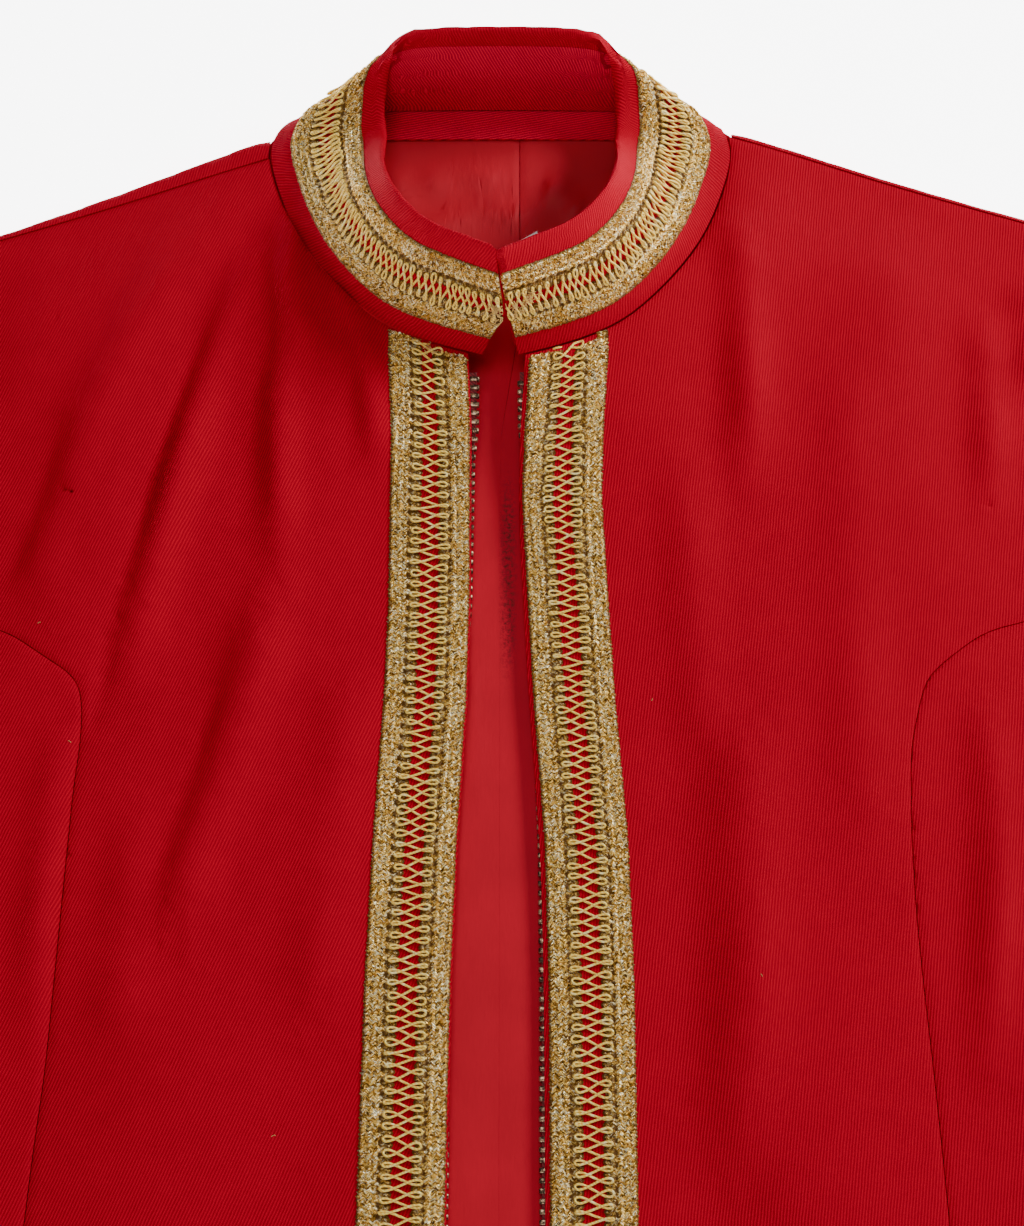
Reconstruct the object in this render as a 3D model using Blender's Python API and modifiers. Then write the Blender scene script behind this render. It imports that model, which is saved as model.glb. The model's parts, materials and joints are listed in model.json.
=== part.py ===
"""A stand-collared stage jacket in red wool with gold braid, laid flat on its back with the zip open.

Sizes are in millimetres and are turned to metres where a mesh is made. X runs across the jacket, to the
wearer's left, Y runs up from the hem towards the collar, and Z is up from the table. The jacket's own
zero is on the centre front at the hem; the whole of it is moved at the end so that its box stands on
the origin.
"""

import math
from collections import namedtuple

import bmesh
import bpy
import numpy as np
from mathutils import Matrix, Vector

MM = 0.001
SEAM_GAP = 0.3

# Thickness of each cloth
WOOL = 1.5
SATIN = 1.0
FACING = 1.2
BRAID = 1.1
TAPE = 1.0

# Heights above the table of the laid cloth
EDGE_HEIGHT = 3.5
MIDDLE_HEIGHT = 7.6
RISE_WIDTH = 60.0
LINING_TOP = WOOL + SEAM_GAP + SATIN

# The flat body, measured from the centre front and up from the hem
COLLAR_WIDTH = 48.3
NECK_X = 92.0
HEAD_X = 211.0
SHOULDER_LIFT = 4.3
LIFT_REACH = 50.0
NECK_LIFT_INNER = 14.0
BRAID_WIDTH = 30.5
EDGE_TO_BRAID = 1.3
BRAID_CLEAR = 0.6
LATTICE_REPEATS = 127
LATTICE_PITCH = 4.08
CELL_HALF_WIDTH = 2.25
CELL_HALF_LENGTH = 1.4
ZIP_TOP = 514.0
LINING_HEM = 30.0

# Each side's shoulder: its fold at the neck and at the sleeve head, the neck section its seam meets, and
# the parts that its front's armhole is cut into
Side = namedtuple("Side", "name sign ridge_at_neck ridge_at_head seam_section hole_parts")
RIGHT = Side("right", -1, 619.0, 573.0, 6, (3, 3, 3, 3))
LEFT = Side("left", 1, 622.0, 584.0, 7, (4, 4, 3, 3))
SIDES = (RIGHT, LEFT)
HEAD_Y = 578.0

# The neck seam and the collar's top edge, one row a section from the centre front round to the centre
# back: where the seam lies, how far it lifts the front off its rest, and where the top edge leans to
Section = namedtuple("Section", "seam_x seam_y lift top_x top_y top_z")
NECK = (
    Section(7.0, 520.0, 8.0, 0.4, 542.0, 58.0),
    Section(28.0, 526.0, 7.8, 18.0, 551.0, 55.5),
    Section(48.0, 536.0, 6.8, 31.0, 559.5, 52.5),
    Section(66.0, 554.0, 5.6, 42.0, 575.0, 48.0),
    Section(79.0, 573.0, 4.6, 45.5, 591.5, 39.5),
    Section(87.0, 592.0, 4.3, 45.5, 606.5, 28.0),
    Section(91.5, 609.0, 4.3, 45.0, 616.5, 21.0),
    Section(90.5, 619.0, 4.3, 45.0, 626.5, 23.5),
    Section(85.5, 626.5, 3.4, 45.0, 634.0, 31.0),
    Section(76.0, 631.5, 1.2, 43.0, 639.0, 38.0),
    Section(58.0, 634.5, 0.0, 38.0, 642.5, 45.0),
    Section(30.0, 635.0, 0.0, 25.0, 643.0, 48.8),
    Section(0.0, 635.2, 0.0, 0.0, 643.2, 49.3),
)

# The armhole from below the sleeve head to the underarm, and the side seam from there to the hem. The
# side-front seam starts at one of the armhole's points, counted with the sleeve head as the first.
Point = namedtuple("Point", "x y")
ARMHOLE = (
    Point(205, 532),
    Point(202, 490),
    Point(202.5, 452),
    Point(206, 421),
    Point(212.5, 407),
    Point(222, 397),
    Point(235, 389),
    Point(250, 385),
)
SIDE_FRONT_START = 4
FRONT_ROWS = 16
SIDE_SEAM = (Point(250, 385), Point(243, 280), Point(238, 200), Point(243, 90), Point(249, 0))

# Seams that differ a little from side to side, by height above the hem
Pair = namedtuple("Pair", "y right left")
SIDE_FRONT_SEAM = (
    Pair(421, 206.0, 206.0),
    Pair(416, 188.0, 188.0),
    Pair(407, 171.0, 171.0),
    Pair(396, 158.5, 159.0),
    Pair(384, 153.5, 153.5),
    Pair(360, 153.0, 148.5),
    Pair(327, 154.0, 147.0),
    Pair(296, 155.0, 147.5),
    Pair(250, 156.5, 150.0),
    Pair(203, 160.0, 152.0),
    Pair(100, 163.0, 156.0),
    Pair(0, 166.0, 160.0),
)
BRAID_EDGE = (
    Pair(522, 12.5, 11.0),
    Pair(492, 11.0, 9.0),
    Pair(464, 11.0, 8.0),
    Pair(424, 11.0, 10.0),
    Pair(386, 12.0, 12.0),
    Pair(334, 15.0, 15.8),
    Pair(283, 16.8, 17.0),
    Pair(203, 18.0, 17.0),
    Pair(100, 18.5, 17.5),
    Pair(0, 19.0, 18.0),
)
# How far the row of teeth comes out past the cloth edge
TEETH_SHOW = (
    Pair(514, 4.5, 3.0),
    Pair(492, 4.5, 3.0),
    Pair(478, 1.5, 1.5),
    Pair(425, 1.0, -0.5),
    Pair(355, -0.5, -0.5),
    Pair(335, -0.5, 1.4),
    Pair(270, 0.4, 1.4),
    Pair(70, 1.4, 1.4),
    Pair(40, 9.5, 5.5),
    Pair(0, 9.5, 5.5),
)

# The largest folds of the fronts: a ridge is up, a trough is down
Fold = namedtuple("Fold", "x0 y0 x1 y1 width height")
FOLDS = (
    Fold(-90, 576, -89, 455, 13, -2.2),
    Fold(-78, 560, -72, 450, 12, 2.6),
    Fold(-69, 553, -54, 495, 9, -2.0),
    Fold(-105, 562, -150, 385, 13, -2.6),
    Fold(-120, 570, -160, 420, 14, 3.2),
    Fold(-168, 502, -188, 428, 12, -2.0),
    Fold(-180, 540, -184, 500, 12, 2.0),
    Fold(-98, 405, -126, 300, 20, -2.4),
    Fold(-75, 420, -100, 240, 26, 2.2),
    Fold(-118, 300, -135, 80, 24, 2.4),
    Fold(-60, 260, -70, 40, 22, -1.8),
    Fold(86, 590, 84, 495, 13, -2.4),
    Fold(99, 592, 99, 470, 12, 2.8),
    Fold(180, 530, 178, 470, 12, -2.0),
    Fold(150, 560, 160, 450, 18, 2.2),
    Fold(71, 360, 68, 120, 20, -2.2),
    Fold(100, 380, 108, 160, 26, 2.6),
    Fold(172, 390, 166, 280, 12, -1.8),
    Fold(192, 360, 200, 180, 18, 2.2),
    Fold(-200, 350, -196, 150, 18, 2.2),
)

# The sleeves, from the armhole to the cuff, with the outer and the under edge's points
SLEEVE_OUTER = (Point(236, 556), Point(276, 484), Point(345, 362), Point(425, 213), Point(506, 66))
SLEEVE_UNDER = (Point(270, 340), Point(306, 225), Point(351, 110), Point(398, 4))
SLEEVE_PUFF = 3.1
MOUTH_BOW = (1.0, 0.85, 0.6, 0.25)
SLEEVE_CREASES = (Point(0.2, 0.35), Point(0.46, 0.7), Point(0.55, 0.3), Point(0.78, 0.6))

# The zip: the row of teeth's width and its depth below the cloth's upper face, and the metal pieces
RAIL = 3.0
RAIL_DEPTH = 3.25
SLIDER_Y = 18.0
SLIDER_LENGTH = 10.0
SLIDER_WIDTH = 8.0
PLATE = 0.9
CHANNEL = 2.6
BRIDGE_WIDTH = 2.0
BRIDGE_LENGTH = 6.0
BRIDGE_HOLE = 2.0
PIVOT_RADIUS = 0.5
TAB_LENGTH = 22.0
TAB_WIDTH = 5.0
TAB_DROP = math.radians(3)
PIN_LENGTH = 9.0


def material(name, colour, roughness, metallic=0.0):
    made = bpy.data.materials.new(name)
    made.use_nodes = True
    shader = made.node_tree.nodes["Principled BSDF"]
    shader.inputs["Base Color"].default_value = (*colour, 1.0)
    shader.inputs["Roughness"].default_value = roughness
    shader.inputs["Metallic"].default_value = metallic
    return made


def smoothstep(value):
    value = min(max(value, 0.0), 1.0)
    return value * value * (3.0 - 2.0 * value)


def curve_through(points, count, even=True):
    """A smooth curve through the points, as count + 1 points, evenly spaced along it or by its points."""
    given = np.array([tuple(point) for point in points], float)
    padded = np.vstack([2 * given[0] - given[1], given, 2 * given[-1] - given[-2]])
    steps = 12
    fine = []
    for a, b, c, d in zip(padded, padded[1:], padded[2:], padded[3:]):
        linear, square, cube = c - a, 2 * a - 5 * b + 4 * c - d, 3 * b - a - 3 * c + d
        fine += [0.5 * (2 * b + linear * t + square * t**2 + cube * t**3) for t in np.arange(steps) / steps]
    fine = np.array(fine + [given[-1]])
    along = np.arange(len(fine)) / steps
    if even:
        along = np.concatenate([[0], np.cumsum(np.linalg.norm(np.diff(fine, axis=0), axis=1))])
    wanted = np.linspace(0, along[-1], count + 1)
    return np.column_stack([np.interp(wanted, along, fine[:, axis]) for axis in range(fine.shape[1])])


def across_at(pairs, side, y):
    """The distance from the centre front that a table of pairs gives one side at a height above the hem."""
    rows = pairs[::-1]
    return float(np.interp(y, [row.y for row in rows], [getattr(row, side.name) for row in rows]))


def cloth_edge(side, y):
    return across_at(BRAID_EDGE, side, y) - EDGE_TO_BRAID


def ridge_y(side, x):
    """The fold line of the shoulder, where the jacket turns from its front to its back."""
    slope = (side.ridge_at_head - side.ridge_at_neck) / (HEAD_X - NECK_X)
    return side.ridge_at_neck + slope * (abs(x) - NECK_X)


def fold_y(side, x):
    """Where the rolled shoulder meets the flat cloth, half its height inside the fold line."""
    return ridge_y(side, x) - EDGE_HEIGHT / 2


def seam_y(side, x):
    """The shoulder seam, from the neck seam to just short of the fold at the sleeve head."""
    at_neck, at_head = NECK[side.seam_section].seam_y + SEAM_GAP, fold_y(side, HEAD_X) - 0.5
    return float(np.interp(abs(x), (NECK_X, HEAD_X), (at_neck, at_head)))


def armhole(y_top, counts):
    """The armhole's points from the sleeve head down, each stretch of it cut into a count of even parts."""
    corners = np.array([(HEAD_X, y_top), *ARMHOLE], float)
    points = [corners[0]]
    for start, end, count in zip(corners, corners[1:], counts):
        points += [start + (end - start) * step / count for step in range(1, count + 1)]
    return np.array(points)


def beside(points, gap):
    """Plan points moved sideways by a gap, to the right of the way that they run."""
    run = np.gradient(points, axis=0)
    return points + gap * np.column_stack([run[:, 1], -run[:, 0]]) / np.linalg.norm(run, axis=1)[:, None]


OUTLINE = np.vstack([armhole(HEAD_Y, [4] * len(ARMHOLE))[:-1], curve_through(SIDE_SEAM, 30)])[::-1]
HALF_NECK = curve_through([(row.seam_x, row.seam_y, row.lift) for row in NECK], 160, even=False)
NECK_POINTS = curve_through([(row.seam_x, row.seam_y) for row in NECK], 2 * (len(NECK) - 1), even=False)


def inside_edge(side, x, y):
    """How far a point lies inside the body's outline at the armhole, the side seam and the shoulder."""
    to_side = np.interp(y, OUTLINE[:, 1], OUTLINE[:, 0]) - abs(x)
    return max(min(to_side, ridge_y(side, x) - y), 0.0)


def fold_height(x, y):
    total = 0.0
    for fold in FOLDS:
        start = Vector((fold.x0, fold.y0))
        run = Vector((fold.x1, fold.y1)) - start
        along = (Vector((x, y)) - start).dot(run) / run.length_squared
        if -0.3 < along < 1.3:
            off = abs((Vector((x, y)) - start).cross(run)) / run.length
            fade = smoothstep((along + 0.3) / 0.5) * smoothstep((1.3 - along) / 0.5)
            total += fold.height * fade * math.exp(-((off / fold.width) ** 2))
    return total


def side_of(x):
    return RIGHT if x < 0 else LEFT


def front_top(x, y):
    """The height of the fronts' upper face above the table."""
    side = side_of(x)
    edge = inside_edge(side, x, y)
    rest = EDGE_HEIGHT + (MIDDLE_HEIGHT - EDGE_HEIGHT) * smoothstep(edge / RISE_WIDTH)
    away = np.hypot(HALF_NECK[:, 0] - abs(x), HALF_NECK[:, 1] - y)
    nearest = int(away.argmin())
    lift = HALF_NECK[nearest, 2] * math.exp(-((away[nearest] / LIFT_REACH) ** 2))
    beside_braid = smoothstep((abs(x) - across_at(BRAID_EDGE, side, y) - BRAID_WIDTH) / 25.0)
    return rest + lift + fold_height(x, y) * smoothstep(edge / 35.0) * beside_braid


def back_under(x, y):
    """The height of the back's lower face: on the table, but for the lift beside the neck."""
    outward = abs(x) - NECK_X
    reach = LIFT_REACH if outward > 0 else NECK_LIFT_INNER
    down = (ridge_y(side_of(x), x) - y) / (1.2 * NECK_LIFT_INNER)
    height = SHOULDER_LIFT * math.exp(-((outward / reach) ** 2) - down**2)
    return height if height > 0.05 else 0.0


def new_object(name, mesh, finish, collection):
    mesh.materials.append(finish)
    obj = bpy.data.objects.new(name, mesh)
    collection.objects.link(obj)
    return obj


def thicken(obj, thickness):
    shell = obj.modifiers.new("cloth", "SOLIDIFY")
    shell.thickness = thickness * MM
    shell.offset = -1.0


def sheet(name, grids, thickness, finish, collection, outward="up", around=False):
    """An open surface through grids of points, thickened inwards; around closes each row into a ring."""
    form = bmesh.new()
    for grid in grids:
        rows = [[form.verts.new(Vector(point) * MM) for point in row] for row in grid]
        for lower, upper in zip(rows, rows[1:]):
            pairs = list(zip(lower, upper))
            pairs += pairs[:1] if around else []
            for (a, d), (b, c) in zip(pairs, pairs[1:]):
                form.faces.new((a, b, c))
                form.faces.new((a, c, d))
    bmesh.ops.remove_doubles(form, verts=form.verts, dist=1e-6)
    bmesh.ops.recalc_face_normals(form, faces=form.faces)
    form.normal_update()
    if around:
        middle = sum((vert.co for vert in form.verts), Vector()) / len(form.verts)
        upward = [face.normal.z * (face.calc_center_median().z - middle.z) for face in form.faces]
    else:
        upward = [face.normal.z if outward == "up" else -face.normal.z for face in form.faces]
    if sum(share * face.calc_area() for share, face in zip(upward, form.faces)) < 0:
        bmesh.ops.reverse_faces(form, faces=form.faces)
    mesh = bpy.data.meshes.new(name)
    form.to_mesh(mesh)
    form.free()
    mesh.shade_smooth()
    obj = new_object(name, mesh, finish, collection)
    thicken(obj, thickness)
    return obj


def loft(name, profile, loops, finish, collection):
    """A closed solid through a profile's loops, with a cap at each end. The faces on its way up and on its
    way down are split along the same diagonal, so that pieces on one curved form stay apart all over."""
    form = bmesh.new()
    rings = [[form.verts.new(Vector(point) * MM) for point in loop] for loop in loops]
    rising = [after[0] >= before[0] for before, after in zip(profile, profile[1:] + profile[:1])]
    for lower, upper in zip(rings, rings[1:]):
        quads = zip(lower, lower[1:] + lower[:1], upper[1:] + upper[:1], upper)
        for up, (a, b, c, d) in zip(rising, quads):
            form.faces.new((a, b, c) if up else (a, b, d))
            form.faces.new((a, c, d) if up else (b, c, d))
    form.faces.new(rings[0][::-1])
    form.faces.new(rings[-1])
    bmesh.ops.recalc_face_normals(form, faces=form.faces)
    mesh = bpy.data.meshes.new(name)
    form.to_mesh(mesh)
    form.free()
    mesh.shade_smooth()
    mesh.set_sharp_from_angle(angle=math.radians(40))
    return new_object(name, mesh, finish, collection)


def patch(top, bottom, start, end):
    """The plan points of a panel between four edges: top and bottom run across, start and end run down."""
    cols, rows = len(top) - 1, len(start) - 1
    grid = []
    for i in range(rows + 1):
        v = i / rows
        row = []
        for j in range(cols + 1):
            u = j / cols
            sides = (1 - u) * start[i] + u * end[i]
            ends = (1 - v) * top[j] + v * bottom[j]
            corners = (1 - v) * ((1 - u) * top[0] + u * top[-1]) + v * ((1 - u) * bottom[0] + u * bottom[-1])
            row.append(sides + ends - corners)
        grid.append(row)
    return grid


def line(start, end, count):
    return np.linspace(np.array(start, float), np.array(end, float), count + 1)


def raised(grid, side, height):
    """Puts a plan grid on its side of the jacket at the height that a function of the place gives."""
    return [[(side.sign * x, y, height(side.sign * x, y)) for x, y in row] for row in grid]


def make_back(finish, collection):
    """The back, one piece: flat on the table, and rolled forward over the shoulders to the shoulder seams."""
    shoulder_cols, side_rows, lip_steps = 6, 4, 4
    hole_parts = [4] + [1] * (len(ARMHOLE) - 1)
    closer_where_neck_turns = [15, 16, 17, 18, 20, 22, 24]
    grids = []
    for side in SIDES:
        xs = np.linspace(NECK_X + SEAM_GAP, HEAD_X, shoulder_cols + 1)
        fold = np.array([(x, fold_y(side, x)) for x in xs])
        neck = beside(NECK_POINTS, SEAM_GAP)[closer_where_neck_turns]
        neck[-1][0] = 0.0
        top = np.vstack([fold[::-1], neck])
        outer = np.vstack([armhole(fold[-1][1], hole_parts)[:-1], curve_through(SIDE_SEAM, side_rows)])
        bottom = line((SIDE_SEAM[-1].x, 0), (0, 0), len(top) - 1)
        level = np.vstack([armhole(HEAD_Y, hole_parts)[:-1], outer[-side_rows - 1 :]])
        centre = np.array([(0.0, top[-1][1] * y / level[0][1]) for x, y in level])
        grids.append(raised(patch(top, bottom, outer, centre), side, back_under))
        lip = []
        for x, y in fold:
            seam = seam_y(side, x)
            low, high = back_under(x * side.sign, y), front_top(x * side.sign, seam)
            middle, radius = (low + high) / 2, (high - low) / 2
            turn = [math.pi * (step / lip_steps - 0.5) for step in range(lip_steps + 1)]
            column = [(x * side.sign, y + radius * math.cos(a), middle + radius * math.sin(a)) for a in turn]
            lip.append([*column, (x * side.sign, seam, high)])
        grids.append(lip)
    return sheet("back", grids, WOOL, finish, collection, outward="down")


def front_grid(side):
    """The front's plan from the neck and the front edge across to the armhole and the side-front seam."""
    cols = 10
    neck = beside(NECK_POINTS, SEAM_GAP)[2 * side.seam_section : 0 : -1]
    edge_y = float(np.interp(cloth_edge(side, 521.0), NECK_POINTS[:2, 0], NECK_POINTS[:2, 1])) - SEAM_GAP
    ys = np.linspace(edge_y, 0.0, FRONT_ROWS + 1)
    inner = np.vstack([neck, [(cloth_edge(side, y), y) for y in ys]])
    upper = beside(armhole(fold_y(side, HEAD_X), side.hole_parts), SEAM_GAP / 2)
    outer = np.vstack([upper[:-1], beside(side_front_seam(side), SEAM_GAP / 2)])
    xs = np.linspace(inner[0][0], outer[0][0], cols + 1)
    top = np.array([(x, seam_y(side, x) - SEAM_GAP) for x in xs])
    top[0], outer[0] = inner[0], top[-1]
    return patch(top, line(inner[-1], outer[-1], cols), inner, outer)


def side_front_seam(side):
    return curve_through([(getattr(row, side.name), row.y) for row in SIDE_FRONT_SEAM], FRONT_ROWS)


def side_front_grid(side):
    """The side front's plan, from the side-front seam across to the underarm and the side seam."""
    cols = 4
    inner = beside(side_front_seam(side), -SEAM_GAP / 2)
    corner, below = np.array(ARMHOLE[SIDE_FRONT_START - 1]), np.array(ARMHOLE[SIDE_FRONT_START])
    hole = [corner + (below - corner) * 0.4, *ARMHOLE[SIDE_FRONT_START:-1]]
    outer = beside(np.vstack([hole, curve_through(SIDE_SEAM, FRONT_ROWS - len(hole))]), SEAM_GAP / 2)
    return patch(line(inner[0], outer[0], cols), line(inner[-1], outer[-1], cols), inner, outer)


def make_fronts(finish, collection):
    """The two fronts and the two side fronts, which lie on the back and on its lining."""
    for side in SIDES:
        for name, grid in (("front", front_grid(side)), ("side_front", side_front_grid(side))):
            sheet(f"{side.name}_{name}", [raised(grid, side, front_top)], WOOL, finish, collection)


def make_sleeves(finish, collection):
    """The sleeves, each a flattened tube from the armhole to its plain cuff. The tube's mouth ends above the
    underarm, and its under edge runs on from there along the armhole."""
    mouth_end, rows, edge_width = 5, 11, 0.15
    beyond_head = (14.0, -5.0)
    outer_steps = [0, 1, 5, 12, 18, 24, 30, 36, 42, 48, 54, 60]
    for side in SIDES:
        body = np.vstack([(HEAD_X, ridge_y(side, HEAD_X)), armhole(fold_y(side, HEAD_X), [1] * len(ARMHOLE))])
        body = beside(body, -SEAM_GAP - 0.1)
        hole, underarm = body[: mouth_end + 3], body[mouth_end + 2 :]
        underarm = np.insert(underarm, 1, (underarm[0] + underarm[1]) / 2, axis=0)
        last = hole[-1] + (hole[-2] - hole[-1]) * edge_width
        hole = np.vstack([hole[:-1], last, hole[-1]])
        across = np.concatenate([[0], np.cumsum(np.linalg.norm(np.diff(hole, axis=0), axis=1))])
        across /= across[-1]
        hole[0][0] += SEAM_GAP
        outer = curve_through([hole[0], hole[0] + beyond_head, *SLEEVE_OUTER], outer_steps[-1])[outer_steps]
        under = curve_through([underarm[-1], *SLEEVE_UNDER], rows + 1 - len(underarm))
        under = np.vstack([underarm[:-1], under])
        bow = hole - hole[0] - across[:, None] * (hole[-1] - hole[0])
        loops = []
        for i, (start, end) in enumerate(zip(outer, under)):
            row = start + across[:, None] * (end - start) + bow * (MOUTH_BOW[i] if i < len(MOUTH_BOW) else 0.0)
            places = [(share, side.sign * x, y) for share, (x, y) in zip(across, row)]
            heights = [EDGE_HEIGHT / 2, *(sleeve_top(i / rows, share) for share in across[1:-1]), EDGE_HEIGHT / 2]
            top = [(x, y, height) for (share, x, y), height in zip(places, heights)]
            low = [(x, y, 0.0) for share, x, y in places]
            loops.append(top + low[-2:0:-1])
        sheet(f"{side.name}_sleeve", [loops], WOOL, finish, collection, around=True)


def sleeve_top(v, share):
    """The height of a sleeve's upper layer: fuller in its middle, with a few creases across it."""
    crown = 1.0 - abs(2.0 * share - 1.0) ** 3
    crease = sum(math.exp(-(((v - c.x) / 0.05) ** 2) - ((share - c.y) / 0.3) ** 2) for c in SLEEVE_CREASES)
    return EDGE_HEIGHT + SLEEVE_PUFF * smoothstep(v / 0.2) * crown * (1.0 - 0.7 * min(crease, 1.0))


def seam_height(row):
    """Where the collar's seam stands: on the front's upper face before the shoulder, then on the back's."""
    lean = math.hypot(row.top_x - row.seam_x, row.top_y - row.seam_y) / COLLAR_WIDTH
    on_back = back_under(row.seam_x, row.seam_y) + WOOL * (1.0 + (lean if row.top_y - row.seam_y < 7.9 else 0.0))
    on_front = front_top(row.seam_x, row.seam_y)
    return on_front if row.seam_y <= NECK[RIGHT.seam_section].seam_y else on_back


def collar_frames():
    """The collar's sections all round: the seam point, the way up to the top edge, and the way inwards."""
    half = [(row.seam_x, row.seam_y, seam_height(row), row.top_x, row.top_y, row.top_z) for row in NECK]
    mirrored = [(-x, y, z, -tx, ty, tz) for x, y, z, tx, ty, tz in half[-2::-1]]
    whole = curve_through(half + mirrored, 2 * (len(half) + len(mirrored) - 1), even=False)
    seam, top = whole[:, :3], whole[:, 3:]
    frames = []
    for base, tip, run in zip(seam, top, np.gradient((seam + top) / 2, axis=0)):
        up = Vector(tip - base).normalized()
        frames.append((Vector(base), up, up.cross(Vector(run)).normalized()))
    return frames


def collar_loops(profile, frames):
    """Loops of the collar's cross-section, given as height up from the seam and depth inwards."""
    return [[base + up * height + inward * depth for height, depth in profile] for base, up, inward in frames]


def make_collar(wool, gold, collection):
    """The stand collar: the outer cloth turned in over the top edge, its facing below the turn, the braid."""
    frames = collar_frames()
    top, turned, facing_foot = COLLAR_WIDTH, COLLAR_WIDTH - 8.5, 3.0
    deep = WOOL + SEAM_GAP + FACING
    low, high, out = 8.5, 38.5, -SEAM_GAP - BRAID
    outer = (
        (SEAM_GAP, 0.0),
        (low, 0.0),
        (high, 0.0),
        (top - 1.0, 0.0),
        (top, 0.9),
        (top, deep - 0.9),
        (top - 1.0, deep),
        (turned, deep),
        (turned, WOOL),
        (facing_foot, WOOL),
        (SEAM_GAP, WOOL),
    )
    inner, facing_top = WOOL + SEAM_GAP, turned - SEAM_GAP
    facing = ((facing_foot, inner), (facing_top, inner), (facing_top, deep), (facing_foot, deep))
    band = (
        (low, out + 0.3),
        (low + 1.0, out),
        (high - 1.0, out),
        (high, out + 0.3),
        (high, -SEAM_GAP),
        (low, -SEAM_GAP),
    )
    pieces = (("collar", outer, wool), ("collar_facing", facing, wool), ("collar_braid", band, gold))
    for name, profile, finish in pieces:
        loft(name, profile, collar_loops(profile, frames), finish, collection)


def make_neck_inside(wool, satin, white, collection):
    """What shows through the neck: the two halves of the back lining, the strip of facing and a blank label."""
    upper_edge = (
        Point(168, 545),
        Point(120, 566),
        Point(88, 580),
        Point(70, 600),
        Point(60, 618),
        Point(52, 629),
        Point(30, 631),
        Point(SEAM_GAP / 2, 631),
    )
    inside, parts = 34.0, 8
    for side in SIDES:
        top = curve_through(upper_edge, parts)
        ys = np.linspace(upper_edge[0].y, LINING_HEM, parts + 1)
        outer = np.column_stack([np.interp(ys, OUTLINE[:, 1], OUTLINE[:, 0]) - inside, ys])
        outer[0] = top[0]
        centre = line(top[-1], (SEAM_GAP / 2, LINING_HEM), parts)
        grid = patch(top, line(outer[-1], centre[-1], parts), outer, centre)
        lining = raised(grid, side, lambda x, y: back_under(x, y) + LINING_TOP)
        sheet(f"{side.name}_back_lining", [lining], SATIN, satin, collection)
    strip_top = LINING_TOP + SEAM_GAP + SATIN
    xs = np.linspace(-57.0, 57.0, 13)
    back_neck = NECK_POINTS[:14:-1]
    upper = [float(np.interp(abs(x), back_neck[:, 0], back_neck[:, 1])) - WOOL - 0.6 for x in xs]
    rows = [[(x, y - depth, strip_top) for x, y in zip(xs, upper)] for depth in (0.0, 6.5, 13.0)]
    sheet("neck_facing", [rows], SATIN, wool, collection)
    length, width, tilt = 30.0, 14.0, math.radians(22)
    turn = Matrix.Rotation(tilt, 2)
    middle = Vector((6.0, 569.5))
    rows = []
    for b in (-width / 2, width / 2):
        corners = [middle + turn @ Vector((a, b)) for a in np.linspace(-length / 2, length / 2, 4)]
        rows.append([(*corner, strip_top) for corner in corners])
    sheet("label", [rows], SATIN, white, collection)


def braid_point(side, across, along):
    """A point of a front braid's upper face: across from its inner edge, along from 0 at the neck to 1. Its
    upper end follows the neck seam, and it runs straight across from about a fifth of its length on."""
    below_seam, inner_edge, bias_length = 1.6, 12.0, 0.22
    start, straight = (
        np.interp(inner_edge + reach, NECK_POINTS[:7, 0], NECK_POINTS[:7, 1]) - below_seam for reach in (across, 0.0)
    )
    y = straight * (1.0 - along) + (start - straight) * max(0.0, 1.0 - along / bias_length) ** 2
    x = side.sign * (across_at(BRAID_EDGE, side, y) + across)
    return x, y, front_top(x, y) + BRAID_CLEAR + BRAID


def make_front_braids(gold, collection):
    """The lace braid down each front edge, with the row of open cells down its middle cut through."""
    middle = BRAID_WIDTH / 2
    for side in SIDES:
        form = bmesh.new()

        def vert(across, place):
            return form.verts.new(Vector(braid_point(side, across, place / LATTICE_REPEATS)) * MM)

        low = vert(0.0, 0), vert(BRAID_WIDTH, 0)
        for repeat in range(LATTICE_REPEATS):
            high = vert(0.0, repeat + 1), vert(BRAID_WIDTH, repeat + 1)
            reach = CELL_HALF_LENGTH / LATTICE_PITCH
            cell = (
                vert(middle, repeat + 0.5 - reach),
                vert(middle + CELL_HALF_WIDTH, repeat + 0.5),
                vert(middle, repeat + 0.5 + reach),
                vert(middle - CELL_HALF_WIDTH, repeat + 0.5),
            )
            ring = (low[0], low[1], high[1], high[0])
            for corner in range(4):
                form.faces.new((ring[corner], ring[(corner + 1) % 4], cell[corner]))
                form.faces.new((ring[(corner + 1) % 4], cell[(corner + 1) % 4], cell[corner]))
            low = high
        form.normal_update()
        if sum(face.normal.z for face in form.faces) < 0:
            bmesh.ops.reverse_faces(form, faces=form.faces)
        mesh = bpy.data.meshes.new(f"{side.name}_front_braid")
        form.to_mesh(mesh)
        form.free()
        braid = new_object(f"{side.name}_front_braid", mesh, gold, collection)
        thicken(braid, BRAID)


def zip_centre(side, y):
    """The middle of the row of teeth, as its place across and its height."""
    show = across_at(TEETH_SHOW, side, y)
    x = cloth_edge(side, y) - show + RAIL / 2
    return x, front_top(side.sign * cloth_edge(side, y), y) - RAIL_DEPTH


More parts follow.
